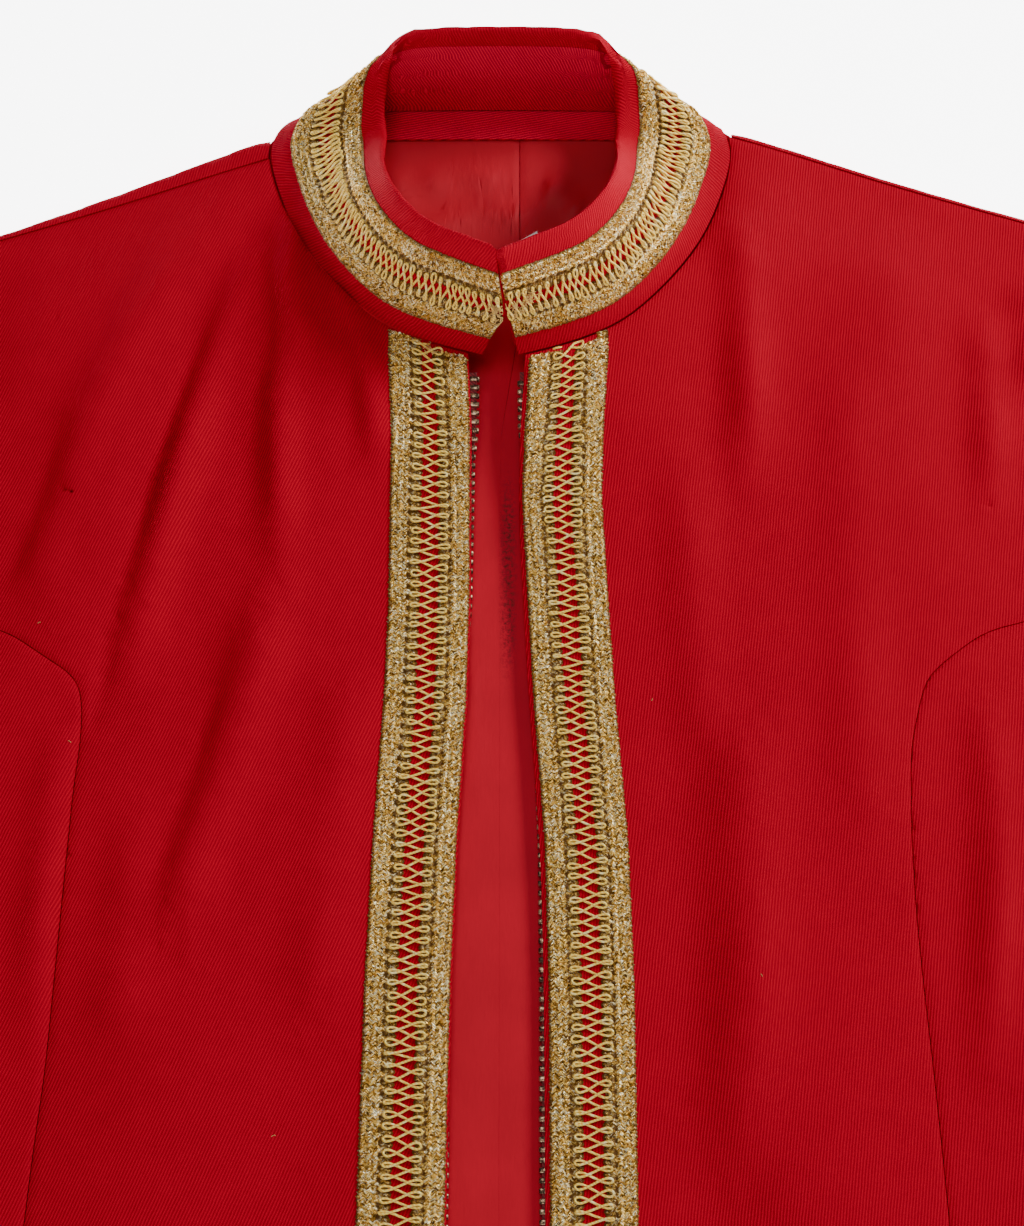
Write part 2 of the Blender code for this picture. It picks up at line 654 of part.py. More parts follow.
def make_zip_tapes(tape_finish, collection):
    """The two zip tapes under the front edges, each with the raised row that its teeth stand on."""
    rail, rail_half, tape_width = RAIL, 1.0, 15.0
    for side in SIDES:
        loops = []
        for y in [*np.linspace(ZIP_TOP, 420.0, 7), *np.linspace(395.0, 70.0, 9), 52.0, 36.0, 22.0, 3.0]:
            x, z = zip_centre(side, y)
            inner, outer, far = x - rail / 2, x + rail / 2, cloth_edge(side, y) + tape_width
            half = TAPE / 2
            profile = (
                (inner, -rail_half),
                (outer, -rail_half),
                (outer + 0.4, -half),
                (far, -half),
                (far, half),
                (outer + 0.4, half),
                (outer, rail_half),
                (inner, rail_half),
            )
            loops.append([(side.sign * a, y, z + b) for a, b in profile])
        loft(f"{side.name}_zip_tape", profile, loops, tape_finish, collection)


def block(low, high):
    """A box between two corners, as a mesh in a scratch form."""
    form = bmesh.new()
    bmesh.ops.create_cube(form, size=1.0)
    size = Vector(high) - Vector(low)
    for vert in form.verts:
        vert.co = (Vector(low) + size * 0.5 + Vector(a * b for a, b in zip(vert.co, size))) * MM
    return form


def block_object(name, low, high, finish, collection):
    form = block(low, high)
    mesh = bpy.data.meshes.new(name)
    form.to_mesh(mesh)
    form.free()
    return new_object(name, mesh, finish, collection)


def cut_by(obj, cutter, operation="DIFFERENCE"):
    change = obj.modifiers.new(cutter.name, "BOOLEAN")
    change.operation = operation
    change.object = cutter
    cutter.hide_render = True
    cutter.display_type = "WIRE"


def make_zip_metal(brass, collection, cutters):
    """The slider with its bridge, its pull tab on the pivot, and the pin and box at the zip's foot."""
    x, z = zip_centre(RIGHT, SLIDER_Y)
    x = RIGHT.sign * x
    half_width, half_length = SLIDER_WIDTH / 2, SLIDER_LENGTH / 2
    under, over = z - CHANNEL / 2 - PLATE, z + CHANNEL / 2 + PLATE
    slider = block_object(
        "zip_slider",
        (x - half_width, SLIDER_Y - half_length, under),
        (x + half_width, SLIDER_Y + half_length, over),
        brass,
        collection,
    )
    tape_channel = block_object(
        "channel_cutter",
        (x - 30.0, SLIDER_Y - half_length - 1, z - CHANNEL / 2),
        (x + 1.9, SLIDER_Y + half_length + 1, z + CHANNEL / 2),
        brass,
        cutters,
    )
    cut_by(slider, tape_channel)
    bridge_top = over + BRIDGE_HOLE + 0.9
    bridge = block_object(
        "bridge_form",
        (x - BRIDGE_WIDTH / 2, SLIDER_Y - BRIDGE_LENGTH / 2, over - 0.4),
        (x + BRIDGE_WIDTH / 2, SLIDER_Y + BRIDGE_LENGTH / 2, bridge_top),
        brass,
        cutters,
    )
    cut_by(slider, bridge, "UNION")
    hole = block_object(
        "bridge_cutter",
        (x - 3.0, SLIDER_Y - BRIDGE_LENGTH / 2 + 1.2, over),
        (x + 3.0, SLIDER_Y + BRIDGE_LENGTH / 2 - 1.2, over + BRIDGE_HOLE),
        brass,
        cutters,
    )
    cut_by(slider, hole)

    pivot = bpy.data.objects.new("pull_pivot", None)
    pivot.location = Vector((x, SLIDER_Y + 0.6, over + BRIDGE_HOLE / 2)) * MM
    collection.objects.link(pivot)
    pivot_radius = PIVOT_RADIUS
    form = block((-TAB_WIDTH / 2, -pivot_radius, -pivot_radius), (TAB_WIDTH / 2, TAB_LENGTH, pivot_radius))
    mesh = bpy.data.meshes.new("zip_pull_tab")
    form.to_mesh(mesh)
    form.free()
    tab = new_object("zip_pull_tab", mesh, brass, collection)
    eye = block_object("eye_cutter", (-1.5, pivot_radius, -3), (1.5, 5.0, 3), brass, cutters)
    finger = block_object("finger_cutter", (-1.2, TAB_LENGTH - 7.0, -3), (1.2, TAB_LENGTH - 2.0, 3), brass, cutters)
    for cutter in (eye, finger):
        cutter.parent = pivot
        cut_by(tab, cutter)
    tab.parent = pivot
    pivot.rotation_euler = (-TAB_DROP, 0.0, 0.0)

    foot_y = 2.0
    for side, name, width in ((RIGHT, "zip_box", 5.0), (LEFT, "zip_pin", 2.2)):
        across, height = zip_centre(side, SLIDER_Y)
        across -= RAIL / 2 + SEAM_GAP + width / 2
        block_object(
            name,
            (side.sign * across - width / 2, foot_y, height - 1.2),
            (side.sign * across + width / 2, foot_y + PIN_LENGTH, height + 1.2),
            brass,
            collection,
        )


def stand_on_origin(parts):
    """Moves the jacket so that the middle of its box's base is on the origin."""
    bpy.context.view_layer.update()
    graph = bpy.context.evaluated_depsgraph_get()
    corners = []
    for obj in parts.objects:
        if obj.type == "MESH":
            shown = obj.evaluated_get(graph)
            corners += [shown.matrix_world @ Vector(corner) for corner in shown.bound_box]
    low = [min(corner[axis] for corner in corners) for axis in range(3)]
    high = [max(corner[axis] for corner in corners) for axis in range(3)]
    anchor = bpy.data.objects.new("jacket_origin", None)
    parts.objects.link(anchor)
    anchor.location = (-(low[0] + high[0]) / 2, -(low[1] + high[1]) / 2, -low[2])
    for obj in bpy.data.objects:
        if obj.parent is None and obj is not anchor:
            obj.parent = anchor


def main():
    for obj in list(bpy.data.objects):
        bpy.data.objects.remove(obj)
    parts = bpy.data.collections.new("stage_jacket")
    cutters = bpy.data.collections.new("cutters")
    cutters.hide_render = True
    for collection in (parts, cutters):
        bpy.context.scene.collection.children.link(collection)
    wool = material("red_wool", (0.32, 0.004, 0.008), 0.75)
    satin = material("red_satin", (0.42, 0.02, 0.03), 0.45)
    gold = material("gold_braid", (0.55, 0.36, 0.12), 0.35, 0.8)
    tape = material("red_tape", (0.2, 0.01, 0.01), 0.8)
    brass = material("aged_brass", (0.25, 0.17, 0.09), 0.4, 1.0)
    white = material("white_label", (0.8, 0.78, 0.74), 0.7)
    make_back(wool, parts)
    make_fronts(wool, parts)
    make_sleeves(wool, parts)
    make_collar(wool, gold, parts)
    make_neck_inside(wool, satin, white, parts)
    make_front_braids(gold, parts)
    make_zip_tapes(tape, parts)
    make_zip_metal(brass, parts, cutters)
    stand_on_origin(parts)


main()
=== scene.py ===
"""The looks of a red wool stage jacket with gold lace, laid flat on its back with its zip open.

The script runs from top to bottom, in the order in which the jacket is put together: the wool body, the
lining and what lies on it, the collar, the lace, the zip, and then the light and the camera. Lengths are in
metres, and each cloth piece is worked out from the solid of the same name.
"""

import json
import math

import bmesh
import bpy
import numpy as np
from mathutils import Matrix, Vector
from mathutils.bvhtree import BVHTree
from mathutils.kdtree import KDTree

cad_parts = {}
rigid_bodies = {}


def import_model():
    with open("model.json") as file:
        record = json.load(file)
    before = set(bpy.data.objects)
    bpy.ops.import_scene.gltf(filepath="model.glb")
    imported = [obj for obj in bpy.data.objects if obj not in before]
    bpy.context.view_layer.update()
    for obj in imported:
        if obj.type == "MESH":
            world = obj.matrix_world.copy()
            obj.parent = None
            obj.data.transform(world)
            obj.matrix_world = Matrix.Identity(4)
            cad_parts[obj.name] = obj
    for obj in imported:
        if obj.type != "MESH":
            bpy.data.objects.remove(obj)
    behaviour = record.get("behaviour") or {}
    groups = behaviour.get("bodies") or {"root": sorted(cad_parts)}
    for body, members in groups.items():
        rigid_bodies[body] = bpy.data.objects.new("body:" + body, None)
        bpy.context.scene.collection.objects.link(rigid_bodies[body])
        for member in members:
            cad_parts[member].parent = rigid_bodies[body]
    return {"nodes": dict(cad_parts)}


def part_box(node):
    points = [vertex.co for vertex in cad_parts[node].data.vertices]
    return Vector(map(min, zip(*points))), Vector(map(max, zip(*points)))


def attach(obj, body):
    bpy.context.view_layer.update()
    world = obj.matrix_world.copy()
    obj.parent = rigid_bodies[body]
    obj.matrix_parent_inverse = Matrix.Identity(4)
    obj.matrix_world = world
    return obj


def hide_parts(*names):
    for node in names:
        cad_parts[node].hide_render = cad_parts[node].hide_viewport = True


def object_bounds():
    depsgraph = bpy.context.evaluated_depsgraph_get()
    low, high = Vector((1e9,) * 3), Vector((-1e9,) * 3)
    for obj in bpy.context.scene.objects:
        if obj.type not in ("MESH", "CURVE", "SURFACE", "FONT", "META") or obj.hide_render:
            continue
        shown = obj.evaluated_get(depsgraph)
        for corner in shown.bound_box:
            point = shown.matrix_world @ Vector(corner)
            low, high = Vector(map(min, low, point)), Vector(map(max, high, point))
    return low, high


for leftover in list(bpy.data.objects):
    bpy.data.objects.remove(leftover)
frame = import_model()
cad_low, cad_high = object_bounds()

# The wool body: the back, the fronts, the side fronts and the sleeves, in a heavy red twill. Each piece is
# its solid made finer, with the facets smoothed away, the seam edges rolled down and the cloth's soft folds
# added.
MM = 0.001
HEM = cad_low.y
DOWN = Vector((0, 0, -1))
RIM_ANGLE = math.radians(50)
FLAT_ANGLE = math.radians(12)
WOOL_PITCH = 1.05 * MM
WOOL_FLOAT = 0.62 * MM
WOOL_RED = (0.60, 0.0013, 0.022, 1.0)
WOOL_SHADE = (0.19, 0.0005, 0.009, 1.0)
# The facings are the body's own wool, painted a brighter red as painted light where the collar shades them
FACING_RED_PAINTED_LIGHT = (0.95, 0.010, 0.062, 1.0)


def put(tree, kind, inputs=None, **settings):
    """Adds a node, sets its values and links the sockets that are given as inputs."""
    made = tree.nodes.new("ShaderNode" + kind)
    for name, value in settings.items():
        setattr(made, name, value)
    for place, value in (inputs or {}).items():
        if isinstance(value, bpy.types.NodeSocket):
            tree.links.new(value, made.inputs[place])
        else:
            made.inputs[place].default_value = value
    return made


def new_finish(name):
    """A new material, with its node tree and its shader."""
    finish = bpy.data.materials.new(name)
    finish.use_nodes = True
    return finish, finish.node_tree, finish.node_tree.nodes["Principled BSDF"]


def add_bump(tree, shader, height, distance, strength):
    made = put(tree, "Bump", {"Height": height, "Distance": distance, "Strength": strength})
    tree.links.new(made.outputs[0], shader.inputs["Normal"])


def maths(tree, operation, *values, clamp=False):
    inputs = dict(enumerate(values))
    return put(tree, "Math", inputs, operation=operation, use_clamp=clamp).outputs[0]


def blended(tree, share, first, second):
    """A colour mixed from two by a share from 0 to 1."""
    made = put(tree, "Mix", {0: share, 6: first, 7: second}, data_type="RGBA")
    return made.outputs[2]


def noise(tree, where, size, detail=2.0, roughness=0.5):
    """Soft noise from 0 to 1, whose spots are about as large as size."""
    inputs = {"Vector": where, "Scale": 1.0 / size, "Detail": detail, "Roughness": roughness}
    return put(tree, "TexNoise", inputs).outputs["Fac"]


def band(tree, value, low, high):
    """0 below low, 1 above high, and smooth between them."""
    inputs = {0: value, 1: low, 2: high, 3: 0.0, 4: 1.0}
    return put(tree, "MapRange", inputs, interpolation_type="SMOOTHSTEP").outputs[0]


def new_group(name, inputs, outputs):
    """An empty node group with its sockets, as the group, its input node and its output node."""
    group = bpy.data.node_groups.new(name, "ShaderNodeTree")
    for label, kind in inputs:
        group.interface.new_socket(name=label, in_out="INPUT", socket_type="NodeSocket" + kind)
    for label, kind in outputs:
        group.interface.new_socket(name=label, in_out="OUTPUT", socket_type="NodeSocket" + kind)
    return group, group.nodes.new("NodeGroupInput"), group.nodes.new("NodeGroupOutput")


def placed(tree, group, inputs):
    made = tree.nodes.new("ShaderNodeGroup")
    made.node_tree = group
    for place, value in inputs.items():
        if isinstance(value, bpy.types.NodeSocket):
            tree.links.new(value, made.inputs[place])
        else:
            made.inputs[place].default_value = value
    return made


twill, given, result = new_group(
    "twill",
    [("Place", "Vector"), ("Rib angle", "Float"), ("Pitch", "Float")],
    [("Height", "Float"), ("Tone", "Float")],
)
where = put(twill, "SeparateXYZ", {0: given.outputs["Place"]})
lean_x, lean_y = maths(twill, "COSINE", given.outputs[1]), maths(twill, "SINE", given.outputs[1])
wobble = maths(twill, "MULTIPLY", noise(twill, given.outputs["Place"], 6 * MM), 0.5 * MM)
across = maths(twill, "MULTIPLY", where.outputs[1], lean_x)
across = maths(twill, "SUBTRACT", maths(twill, "MULTIPLY", where.outputs[0], lean_y), across)
along = maths(twill, "MULTIPLY", where.outputs[1], lean_y)
along = maths(twill, "ADD", maths(twill, "MULTIPLY", where.outputs[0], lean_x), along)
turns = maths(twill, "DIVIDE", maths(twill, "ADD", across, wobble), given.outputs["Pitch"])
rib = maths(twill, "SINE", maths(twill, "MULTIPLY", turns, 2 * math.pi))
rib = maths(twill, "MULTIPLY_ADD", rib, 0.5, 0.5)
staggered = maths(twill, "MULTIPLY", turns, 0.5)
float_turns = maths(twill, "ADD", maths(twill, "DIVIDE", along, WOOL_FLOAT), staggered)
floats = maths(twill, "SINE", maths(twill, "MULTIPLY", float_turns, 2 * math.pi))
fuzz = noise(twill, given.outputs["Place"], 0.5 * MM, 3.0)
height = maths(twill, "MULTIPLY", rib, maths(twill, "MULTIPLY_ADD", floats, 0.16, 0.8))
height = maths(twill, "ADD", height, maths(twill, "MULTIPLY", fuzz, 0.12))
twill.links.new(height, result.inputs["Height"])
# The tone follows the ribs, so their grooves are painted darker: a painted shade in the twill, with the fuzz
# as the yarn's own uneven tone
tone = maths(twill, "ADD", maths(twill, "MULTIPLY", rib, 0.6), maths(twill, "MULTIPLY", fuzz, 0.5))
twill.links.new(tone, result.inputs["Tone"])


def wool_material(name, rib_angle, mapped=False, red=WOOL_RED):
    """Red wool twill, with its ribs at an angle from the X axis, or from the run of the piece's own map."""
    finish, tree, shader = new_finish(name)
    spot = put(tree, "TexCoord").outputs["Object"]
    grain_place = put(tree, "UVMap", uv_map="cloth").outputs[0] if mapped else spot
    weave = {"Place": grain_place, "Rib angle": math.radians(rib_angle), "Pitch": WOOL_PITCH}
    ribs = placed(tree, twill, weave)
    cloudy = noise(tree, spot, 55 * MM, 3.0, 0.6)
    mottled = noise(tree, spot, 7 * MM, 4.0, 0.6)
    # The ribs' painted shade sets most of the wool's colour; the cloudy and mottled noise is the wool's own
    # uneven tone
    share = maths(tree, "MULTIPLY_ADD", ribs.outputs["Tone"], 0.82, -0.10)
    share = maths(tree, "ADD", share, maths(tree, "MULTIPLY", cloudy, 0.2))
    share = maths(tree, "ADD", share, maths(tree, "MULTIPLY", mottled, 0.14), clamp=True)
    colour = blended(tree, share, WOOL_SHADE, red)
    tree.links.new(colour, shader.inputs["Base Color"])
    add_bump(tree, shader, ribs.outputs["Height"], 0.20 * MM, 0.85)
    shader.inputs["Roughness"].default_value = 0.8
    shader.inputs["Specular IOR Level"].default_value = 0.1
    shader.inputs["Specular Tint"].default_value = (1.0, 0.2, 0.2, 1.0)
    return finish


def halve(form, long):
    """Cuts edges in half, and the faces beside them into triangles."""
    bmesh.ops.subdivide_edges(form, edges=long, cuts=1)
    bmesh.ops.triangulate(form, faces=[face for face in form.faces if len(face.verts) > 3])


def rim_edges(form):
    """The edges between a piece's face and its thin side."""
    form.normal_update()
    return [edge for edge in form.edges if edge.is_manifold and edge.calc_face_angle() > RIM_ANGLE]


def fine_solid(node, spacing, fine_above=None, finer_rims=False, shortest=0.0):
    """A node's solid cut into small faces, as points, edges, faces and the edges of its rims. Faces below a
    height above the hem stay four times as large, faces beside the rims can be finer, and edges below a
    shortest length are dissolved."""
    form = bmesh.new()
    form.from_mesh(frame["nodes"][node].data)
    bmesh.ops.remove_doubles(form, verts=form.verts, dist=2e-6)
    halvings, rim_halvings = 7, 2
    longest, longest_at_rims = 1.35 * spacing, 0.6 * spacing
    for _ in range(halvings):
        long = []
        for edge in form.edges:
            height = max(vert.co.y for vert in edge.verts) - HEM
            coarse = fine_above is not None and height < fine_above
            if edge.calc_length() > longest * (4 if coarse else 1):
                long.append(edge)
        halve(form, long)
    for _ in range(rim_halvings if finer_rims else 0):
        beside = {vert for edge in rim_edges(form) for vert in edge.verts}
        long = [edge for edge in form.edges if edge.calc_length() > longest_at_rims]
        halve(form, [edge for edge in long if not beside.isdisjoint(edge.verts)])
    form.normal_update()
    flat = [edge for edge in form.edges if edge.is_manifold and edge.calc_face_angle() < FLAT_ANGLE]
    bmesh.ops.beautify_fill(form, faces=form.faces, edges=flat, method="ANGLE")
    if shortest > 0:
        bmesh.ops.dissolve_degenerate(form, edges=form.edges, dist=shortest)
        bmesh.ops.triangulate(form, faces=[face for face in form.faces if len(face.verts) > 3])
    form.verts.index_update()
    points = np.array([vert.co for vert in form.verts])
    edges = np.array([[vert.index for vert in edge.verts] for edge in form.edges])
    rims = np.array([[vert.index for vert in edge.verts] for edge in rim_edges(form)]).reshape(-1, 2)
    faces = np.array([[vert.index for vert in face.verts] for face in form.faces])
    form.free()
    return points, edges, faces, rims


def evened(points, edges, rims, rounds):
    """Smooths points between their neighbours; a point on a rim moves along the rim alone."""
    count, strength = len(points), 0.5
    ends = np.bincount(rims.ravel(), minlength=count)
    on_rim = ends > 0
    inner = edges[~(on_rim[edges[:, 0]] & on_rim[edges[:, 1]])]
    for _ in range(rounds):
        total, links = np.zeros_like(points), np.zeros(count)
        for pairs, chosen in ((inner, ~on_rim), (rims, ends == 2)):
            for near, far in ((0, 1), (1, 0)):
                pick = chosen[pairs[:, near]]
                links += np.bincount(pairs[pick, near], minlength=count)
                for axis in range(3):
                    weights = points[pairs[pick, far], axis]
                    total[:, axis] += np.bincount(pairs[pick, near], weights=weights, minlength=count)
        moved = links > 0
        points = points.copy()
        points[moved] += strength * (total[moved] / links[moved, None] - points[moved])
    return points


def tree_of(places, flat=False):
    """Places to be searched, in the plan alone if flat."""
    tree = KDTree(len(places))
    for index, place in enumerate(places):
        tree.insert((place[0], place[1], 0.0 if flat else place[2]), index)
    tree.balance()
    return tree


def distance_to(points, targets):
    tree = tree_of(targets)
    return np.array([tree.find(point)[2] for point in points])


def upper_rim(points, rims):
    """The upper edge of a piece's rim, as close places along it: those with none well above them."""
    near, thinnest = 1.2 * MM, 0.5 * MM
    share = np.linspace(0, 1, 5)[None, :, None]
    line = (points[rims[:, 0], None] * (1 - share) + points[rims[:, 1], None] * share).reshape(-1, 3)
    tree = tree_of(line, flat=True)
    keep = []
    for index, (x, y, z) in enumerate(line):
        around = tree.find_range((x, y, 0.0), near)
        if all(line[hit[1], 2] < z + thinnest for hit in around):
            keep.append(index)
    return line[keep]


def sew(points, own, other):
    """Draws a piece's edge to its neighbour's, as their seam does, and eases the cloth beside it."""
    own_tree, other_tree = tree_of(own, flat=True), tree_of(other, flat=True)
    ease_width, reach, groove = 12 * MM, 3.5 * MM, 0.3 * MM
    for index, (x, y, _) in enumerate(points):
        _, near, away = own_tree.find((x, y, 0.0))
        _, match, gap = other_tree.find((*own[near, :2], 0.0))
        if away < ease_width and gap < reach:
            pull = other[match] - own[near]
            pull[:2] *= max(0.0, 1 - groove / max(gap, 1e-6))
            points[index] += pull * (1 - away / ease_width) ** 2 * min(1.0, (reach - gap) / MM)
    return points


def mesh_piece(name, points, faces, finish, slot, flat_places=None, pits=None):
    """A smooth-shaded object from points and faces. Its own map holds the points' places on the flat
    cloth, and its pits say how deep each point lies in the weave."""
    mesh = bpy.data.meshes.new(name)
    mesh.from_pydata(np.asarray(points).tolist(), [], faces)
    mesh.update()
    if flat_places is not None:
        corners = np.empty(len(mesh.loops), np.int32)
        mesh.loops.foreach_get("vertex_index", corners)
        mesh.uv_layers.new(name="cloth").data.foreach_set("uv", flat_places[corners].ravel())
    if pits is not None:
        mesh.attributes.new("pit", "FLOAT", "POINT").data.foreach_set("value", pits)
    mesh.materials.append(finish)
    mesh.shade_smooth()
    mesh.set_sharp_from_angle(angle=math.radians(55))
    piece = bpy.data.objects.new(name, mesh)
    bpy.context.scene.collection.objects.link(piece)
    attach(piece, "jacket")
    return piece


def joined(forms):
    """Several forms in one, from the points and the faces of each."""
    points, faces, count = [], [], 0
    for form_points, form_faces in forms:
        faces += [[index + count for index in face] for face in form_faces]
        points.append(form_points)
        count += len(form_points)
    return np.vstack(points), faces


upper_rims = {}


def cloth_piece(
    name, spacing, finish, slot, rounds=18, roll=0.5 * MM, shape=None, fine_above=None, flat=None, sewn_to=None
):
    """A cloth piece on its solid's form, with its seam edges rolled down and its own shape added."""
    roll_width = 2.2 * MM
    shortest = 0.04 * MM if sewn_to else 0.0
    points, edges, faces, rims = fine_solid(name, spacing, fine_above, roll > 0, shortest)
    points = evened(points, edges, rims, rounds)
    if roll:
        away = np.clip(1.0 - distance_to(points, points[np.unique(rims)]) / roll_width, 0.0, 1.0)
        points[:, 2] -= roll * away**2
    if shape is not None:
        points = shape(points)
    if roll:
        upper_rims[name] = upper_rim(points, rims)
    if sewn_to is not None:
        points = sew(points, upper_rims[name], upper_rims[sewn_to])
    flat_places = flat(points) if flat is not None else None
    piece = mesh_piece(f"{name}_cloth", points, faces.tolist(), finish, slot, flat_places)
    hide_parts(name)
    return piece


def smooth_curve(corners, count):
    """A smooth curve through given points, as count + 1 evenly spaced points."""
    corners = np.array(corners, float)
    padded = np.vstack([2 * corners[0] - corners[1], corners, 2 * corners[-1] - corners[-2]])
    fine = []
    for a, b, c, d in zip(padded, padded[1:], padded[2:], padded[3:]):
        for t in np.arange(16) / 16:
            square, cube = 2 * a - 5 * b + 4 * c - d, 3 * b - a - 3 * c + d
            fine.append(0.5 * (2 * b + (c - a) * t + square * t**2 + cube * t**3))
    fine = np.array(fine + [corners[-1]])
    along = np.concatenate([[0], np.cumsum(np.linalg.norm(np.diff(fine, axis=0), axis=1))])
    wanted = np.linspace(0, along[-1], count + 1)
    return np.column_stack([np.interp(wanted, along, fine[:, axis]) for axis in range(fine.shape[1])])


def crease_height(points, path, width, depth):
    """A soft, uneven ridge or trough along a path in the plan, in mm from the centre front and hem."""
    steps = 40
    route = smooth_curve(path, steps) * MM + (0.0, HEM)
    tree = tree_of(route, flat=True)
    found = [tree.find((x, y, 0.0)) for x, y, _ in points]
    off = np.array([hit[2] for hit in found]) / (width * MM)
    share = np.array([hit[1] for hit in found]) / steps
    ends = np.clip(np.minimum(share, 1 - share) * 5, 0, 1)
    uneven = 0.8 + 0.2 * np.sin(share * 11.0 + width)
    return depth * MM * ends * uneven * np.exp(-(off**2))


# Soft folds of the fronts as the cloth lies: the path, width and height of each ridge or narrow trough
FRONT_CREASES = {
    "right_front": (
        (((-82, 589), (-82, 563), (-81, 531), (-84, 500), (-83, 456), (-80, 424)), 7, 4.7),
        (((-72, 562), (-62, 546), (-53, 525), (-48, 499), (-46, 471)), 6, 3.7),
        (
            ((-94, 572), (-101, 550), (-109, 523), (-117, 493), (-125, 456), (-131, 425), (-140, 387)),
            8,
            6.7,
        ),
        (((-129, 567), (-142, 533), (-156, 499), (-167, 456), (-174, 424)), 9, 3.2),
        (((-84, 439), (-89, 403), (-97, 374), (-103, 349), (-111, 320), (-116, 291)), 11, 5.9),
        (((-53, 408), (-56, 363), (-61, 313), (-65, 257)), 12, 3.5),
        (((-128, 356), (-131, 313), (-132, 261)), 10, 3.1),
        (((-90, 575), (-89, 532), (-92, 507), (-89, 457)), 3, -1.3),
        (((-68, 553), (-59, 525), (-55, 500)), 3, -1.1),
        (
            ((-104, 561), (-117, 524), (-125, 494), (-133, 457), (-140, 426), (-149, 388), (-152, 364)),
            3,
            -2.0,
        ),
        (((-165, 501), (-176, 457), (-185, 429)), 4, -1.1),
        (((-98, 404), (-113, 350), (-124, 305)), 4, -1.5),
    ),
    "left_front": (
        (((87, 585), (93, 567), (94, 529), (94, 496), (90, 463)), 8, 4.7),
        (((186, 546), (187, 521), (186, 475), (182, 447)), 8, 4.2),
        (((206, 559), (207, 533), (206, 504)), 7, 3.5),
        (((87, 386), (87, 348), (87, 295), (83, 250), (78, 211)), 14, 5.9),
        (((66, 496), (70, 455), (72, 408), (72, 363)), 10, 3.0),
        (((131, 533), (131, 479), (132, 424), (132, 363), (132, 302)), 13, 3.1),
    ),
    "left_side_front": (
        (((177, 389), (178, 356), (176, 320), (172, 283), (168, 244)), 8, 4.7),
    ),
    "right_side_front": (
        (((-160, 378), (-160, 341), (-160, 302), (-161, 257)), 8, 3.7),
    ),
}
# Where the lace's inner edge lies, in mm above the hem and out from the centre front on each side
LACE_EDGE = (
    (522, 12.5, 11.0),
    (492, 11.0, 9.0),
    (464, 11.0, 8.0),
    (424, 11.0, 10.0),
    (386, 12.0, 12.0),
    (334, 15.0, 15.8),
    (283, 16.8, 17.0),
    (203, 18.0, 17.0),
    (100, 18.5, 17.5),
    (0, 19.0, 18.0),
)
edge_heights, right_edge, left_edge = np.array(LACE_EDGE[::-1]).T * MM
# Where the curved seams lie a little off their solids, in the plan: a place, a shift and its reach in mm
SEAM_SHIFTS = {"right": ((-154, 387), (3.4, 1.0), 19), "left": ((165, 392), (-1.8, 1.1), 38)}


def laid(name):
    """The folds of a front, whose edge at the zip is drawn back to the lace that will be sewn on it."""

    def shape(points):
        for path, width, height in FRONT_CREASES.get(name, ()):
            points[:, 2] += crease_height(points, path, width, height)
        (x, y), shift, reach = SEAM_SHIFTS[name.split("_")[0]]
        away = np.hypot(points[:, 0] / MM - x, (points[:, 1] - HEM) / MM - y)
        side_edge, side_ease = 206, 20
        inside = np.clip((side_edge - np.abs(points[:, 0]) / MM) / side_ease, 0, 1)
        share = np.exp(-((away / reach) ** 2)) * inside
        points[:, :2] += share[:, None] * np.array(shift) * MM
        if name == "right_front":
            least = np.interp(points[:, 1] - HEM, edge_heights, right_edge) - 0.3 * MM
            points[:, 0] = -np.maximum(-points[:, 0], least)
        return points

    return shape


back_wool = wool_material("wool_back", 78.0)
right_wool = wool_material("wool_right", 67.0)
left_wool = wool_material("wool_left", 82.0)
sleeve_wool = wool_material("wool_sleeve", 60.0)
back = cloth_piece("back", 5 * MM, back_wool, "wool", rounds=6, roll=0.0, fine_above=0.54)
fronts = {}
for name, finish in (("right_front", right_wool), ("left_front", left_wool)):
    fronts[name] = cloth_piece(name, 3.6 * MM, finish, "wool", shape=laid(name))
for name, finish in (("right_side_front", right_wool), ("left_side_front", left_wool)):
    partner = name.replace("_side", "")
    fronts[name] = cloth_piece(name, 3.6 * MM, finish, "wool", shape=laid(name), sewn_to=partner)
for name in ("right_sleeve", "left_sleeve"):
    cloth_piece(name, 5 * MM, sleeve_wool, "wool", rounds=10, roll=0.0)

# The red satin lining of the back, in two halves with a seam down the middle. It shows through the neck, in
# soft wrinkles, and through the open front, where dirt has left a dark streak.
SATIN_RED = (0.58, 0.0050, 0.025, 1.0)
SATIN_SHADE = (0.33, 0.0030, 0.014, 1.0)

satin, tree, shader = new_finish("satin")
spot = put(tree, "TexCoord").outputs["Object"]
where = put(tree, "SeparateXYZ", {0: spot})
streaky = put(tree, "Mapping", {"Vector": spot, "Scale": (1.0, 0.12, 1.0)}).outputs[0]
threads = noise(tree, streaky, 0.7 * MM, 3.0, 0.7)
cloudy = noise(tree, spot, 30 * MM, 3.0)
share = maths(tree, "MULTIPLY_ADD", threads, 0.35, maths(tree, "MULTIPLY", cloudy, 0.75), clamp=True)
colour = blended(tree, share, SATIN_SHADE, SATIN_RED)
off_centre = maths(tree, "ABSOLUTE", maths(tree, "SUBTRACT", where.outputs[0], 3.0 * MM))
streak = maths(tree, "SUBTRACT", 1.0, band(tree, off_centre, 0.5 * MM, 4.5 * MM))
above = band(tree, where.outputs[1], HEM + 0.385, HEM + 0.42)
below = band(tree, where.outputs[1], HEM + 0.455, HEM + 0.485)
streak = maths(tree, "MULTIPLY", streak, maths(tree, "SUBTRACT", above, below, clamp=True))
dots = band(tree, noise(tree, spot, 1.4 * MM, 4.0, 0.8), 0.42, 0.62)
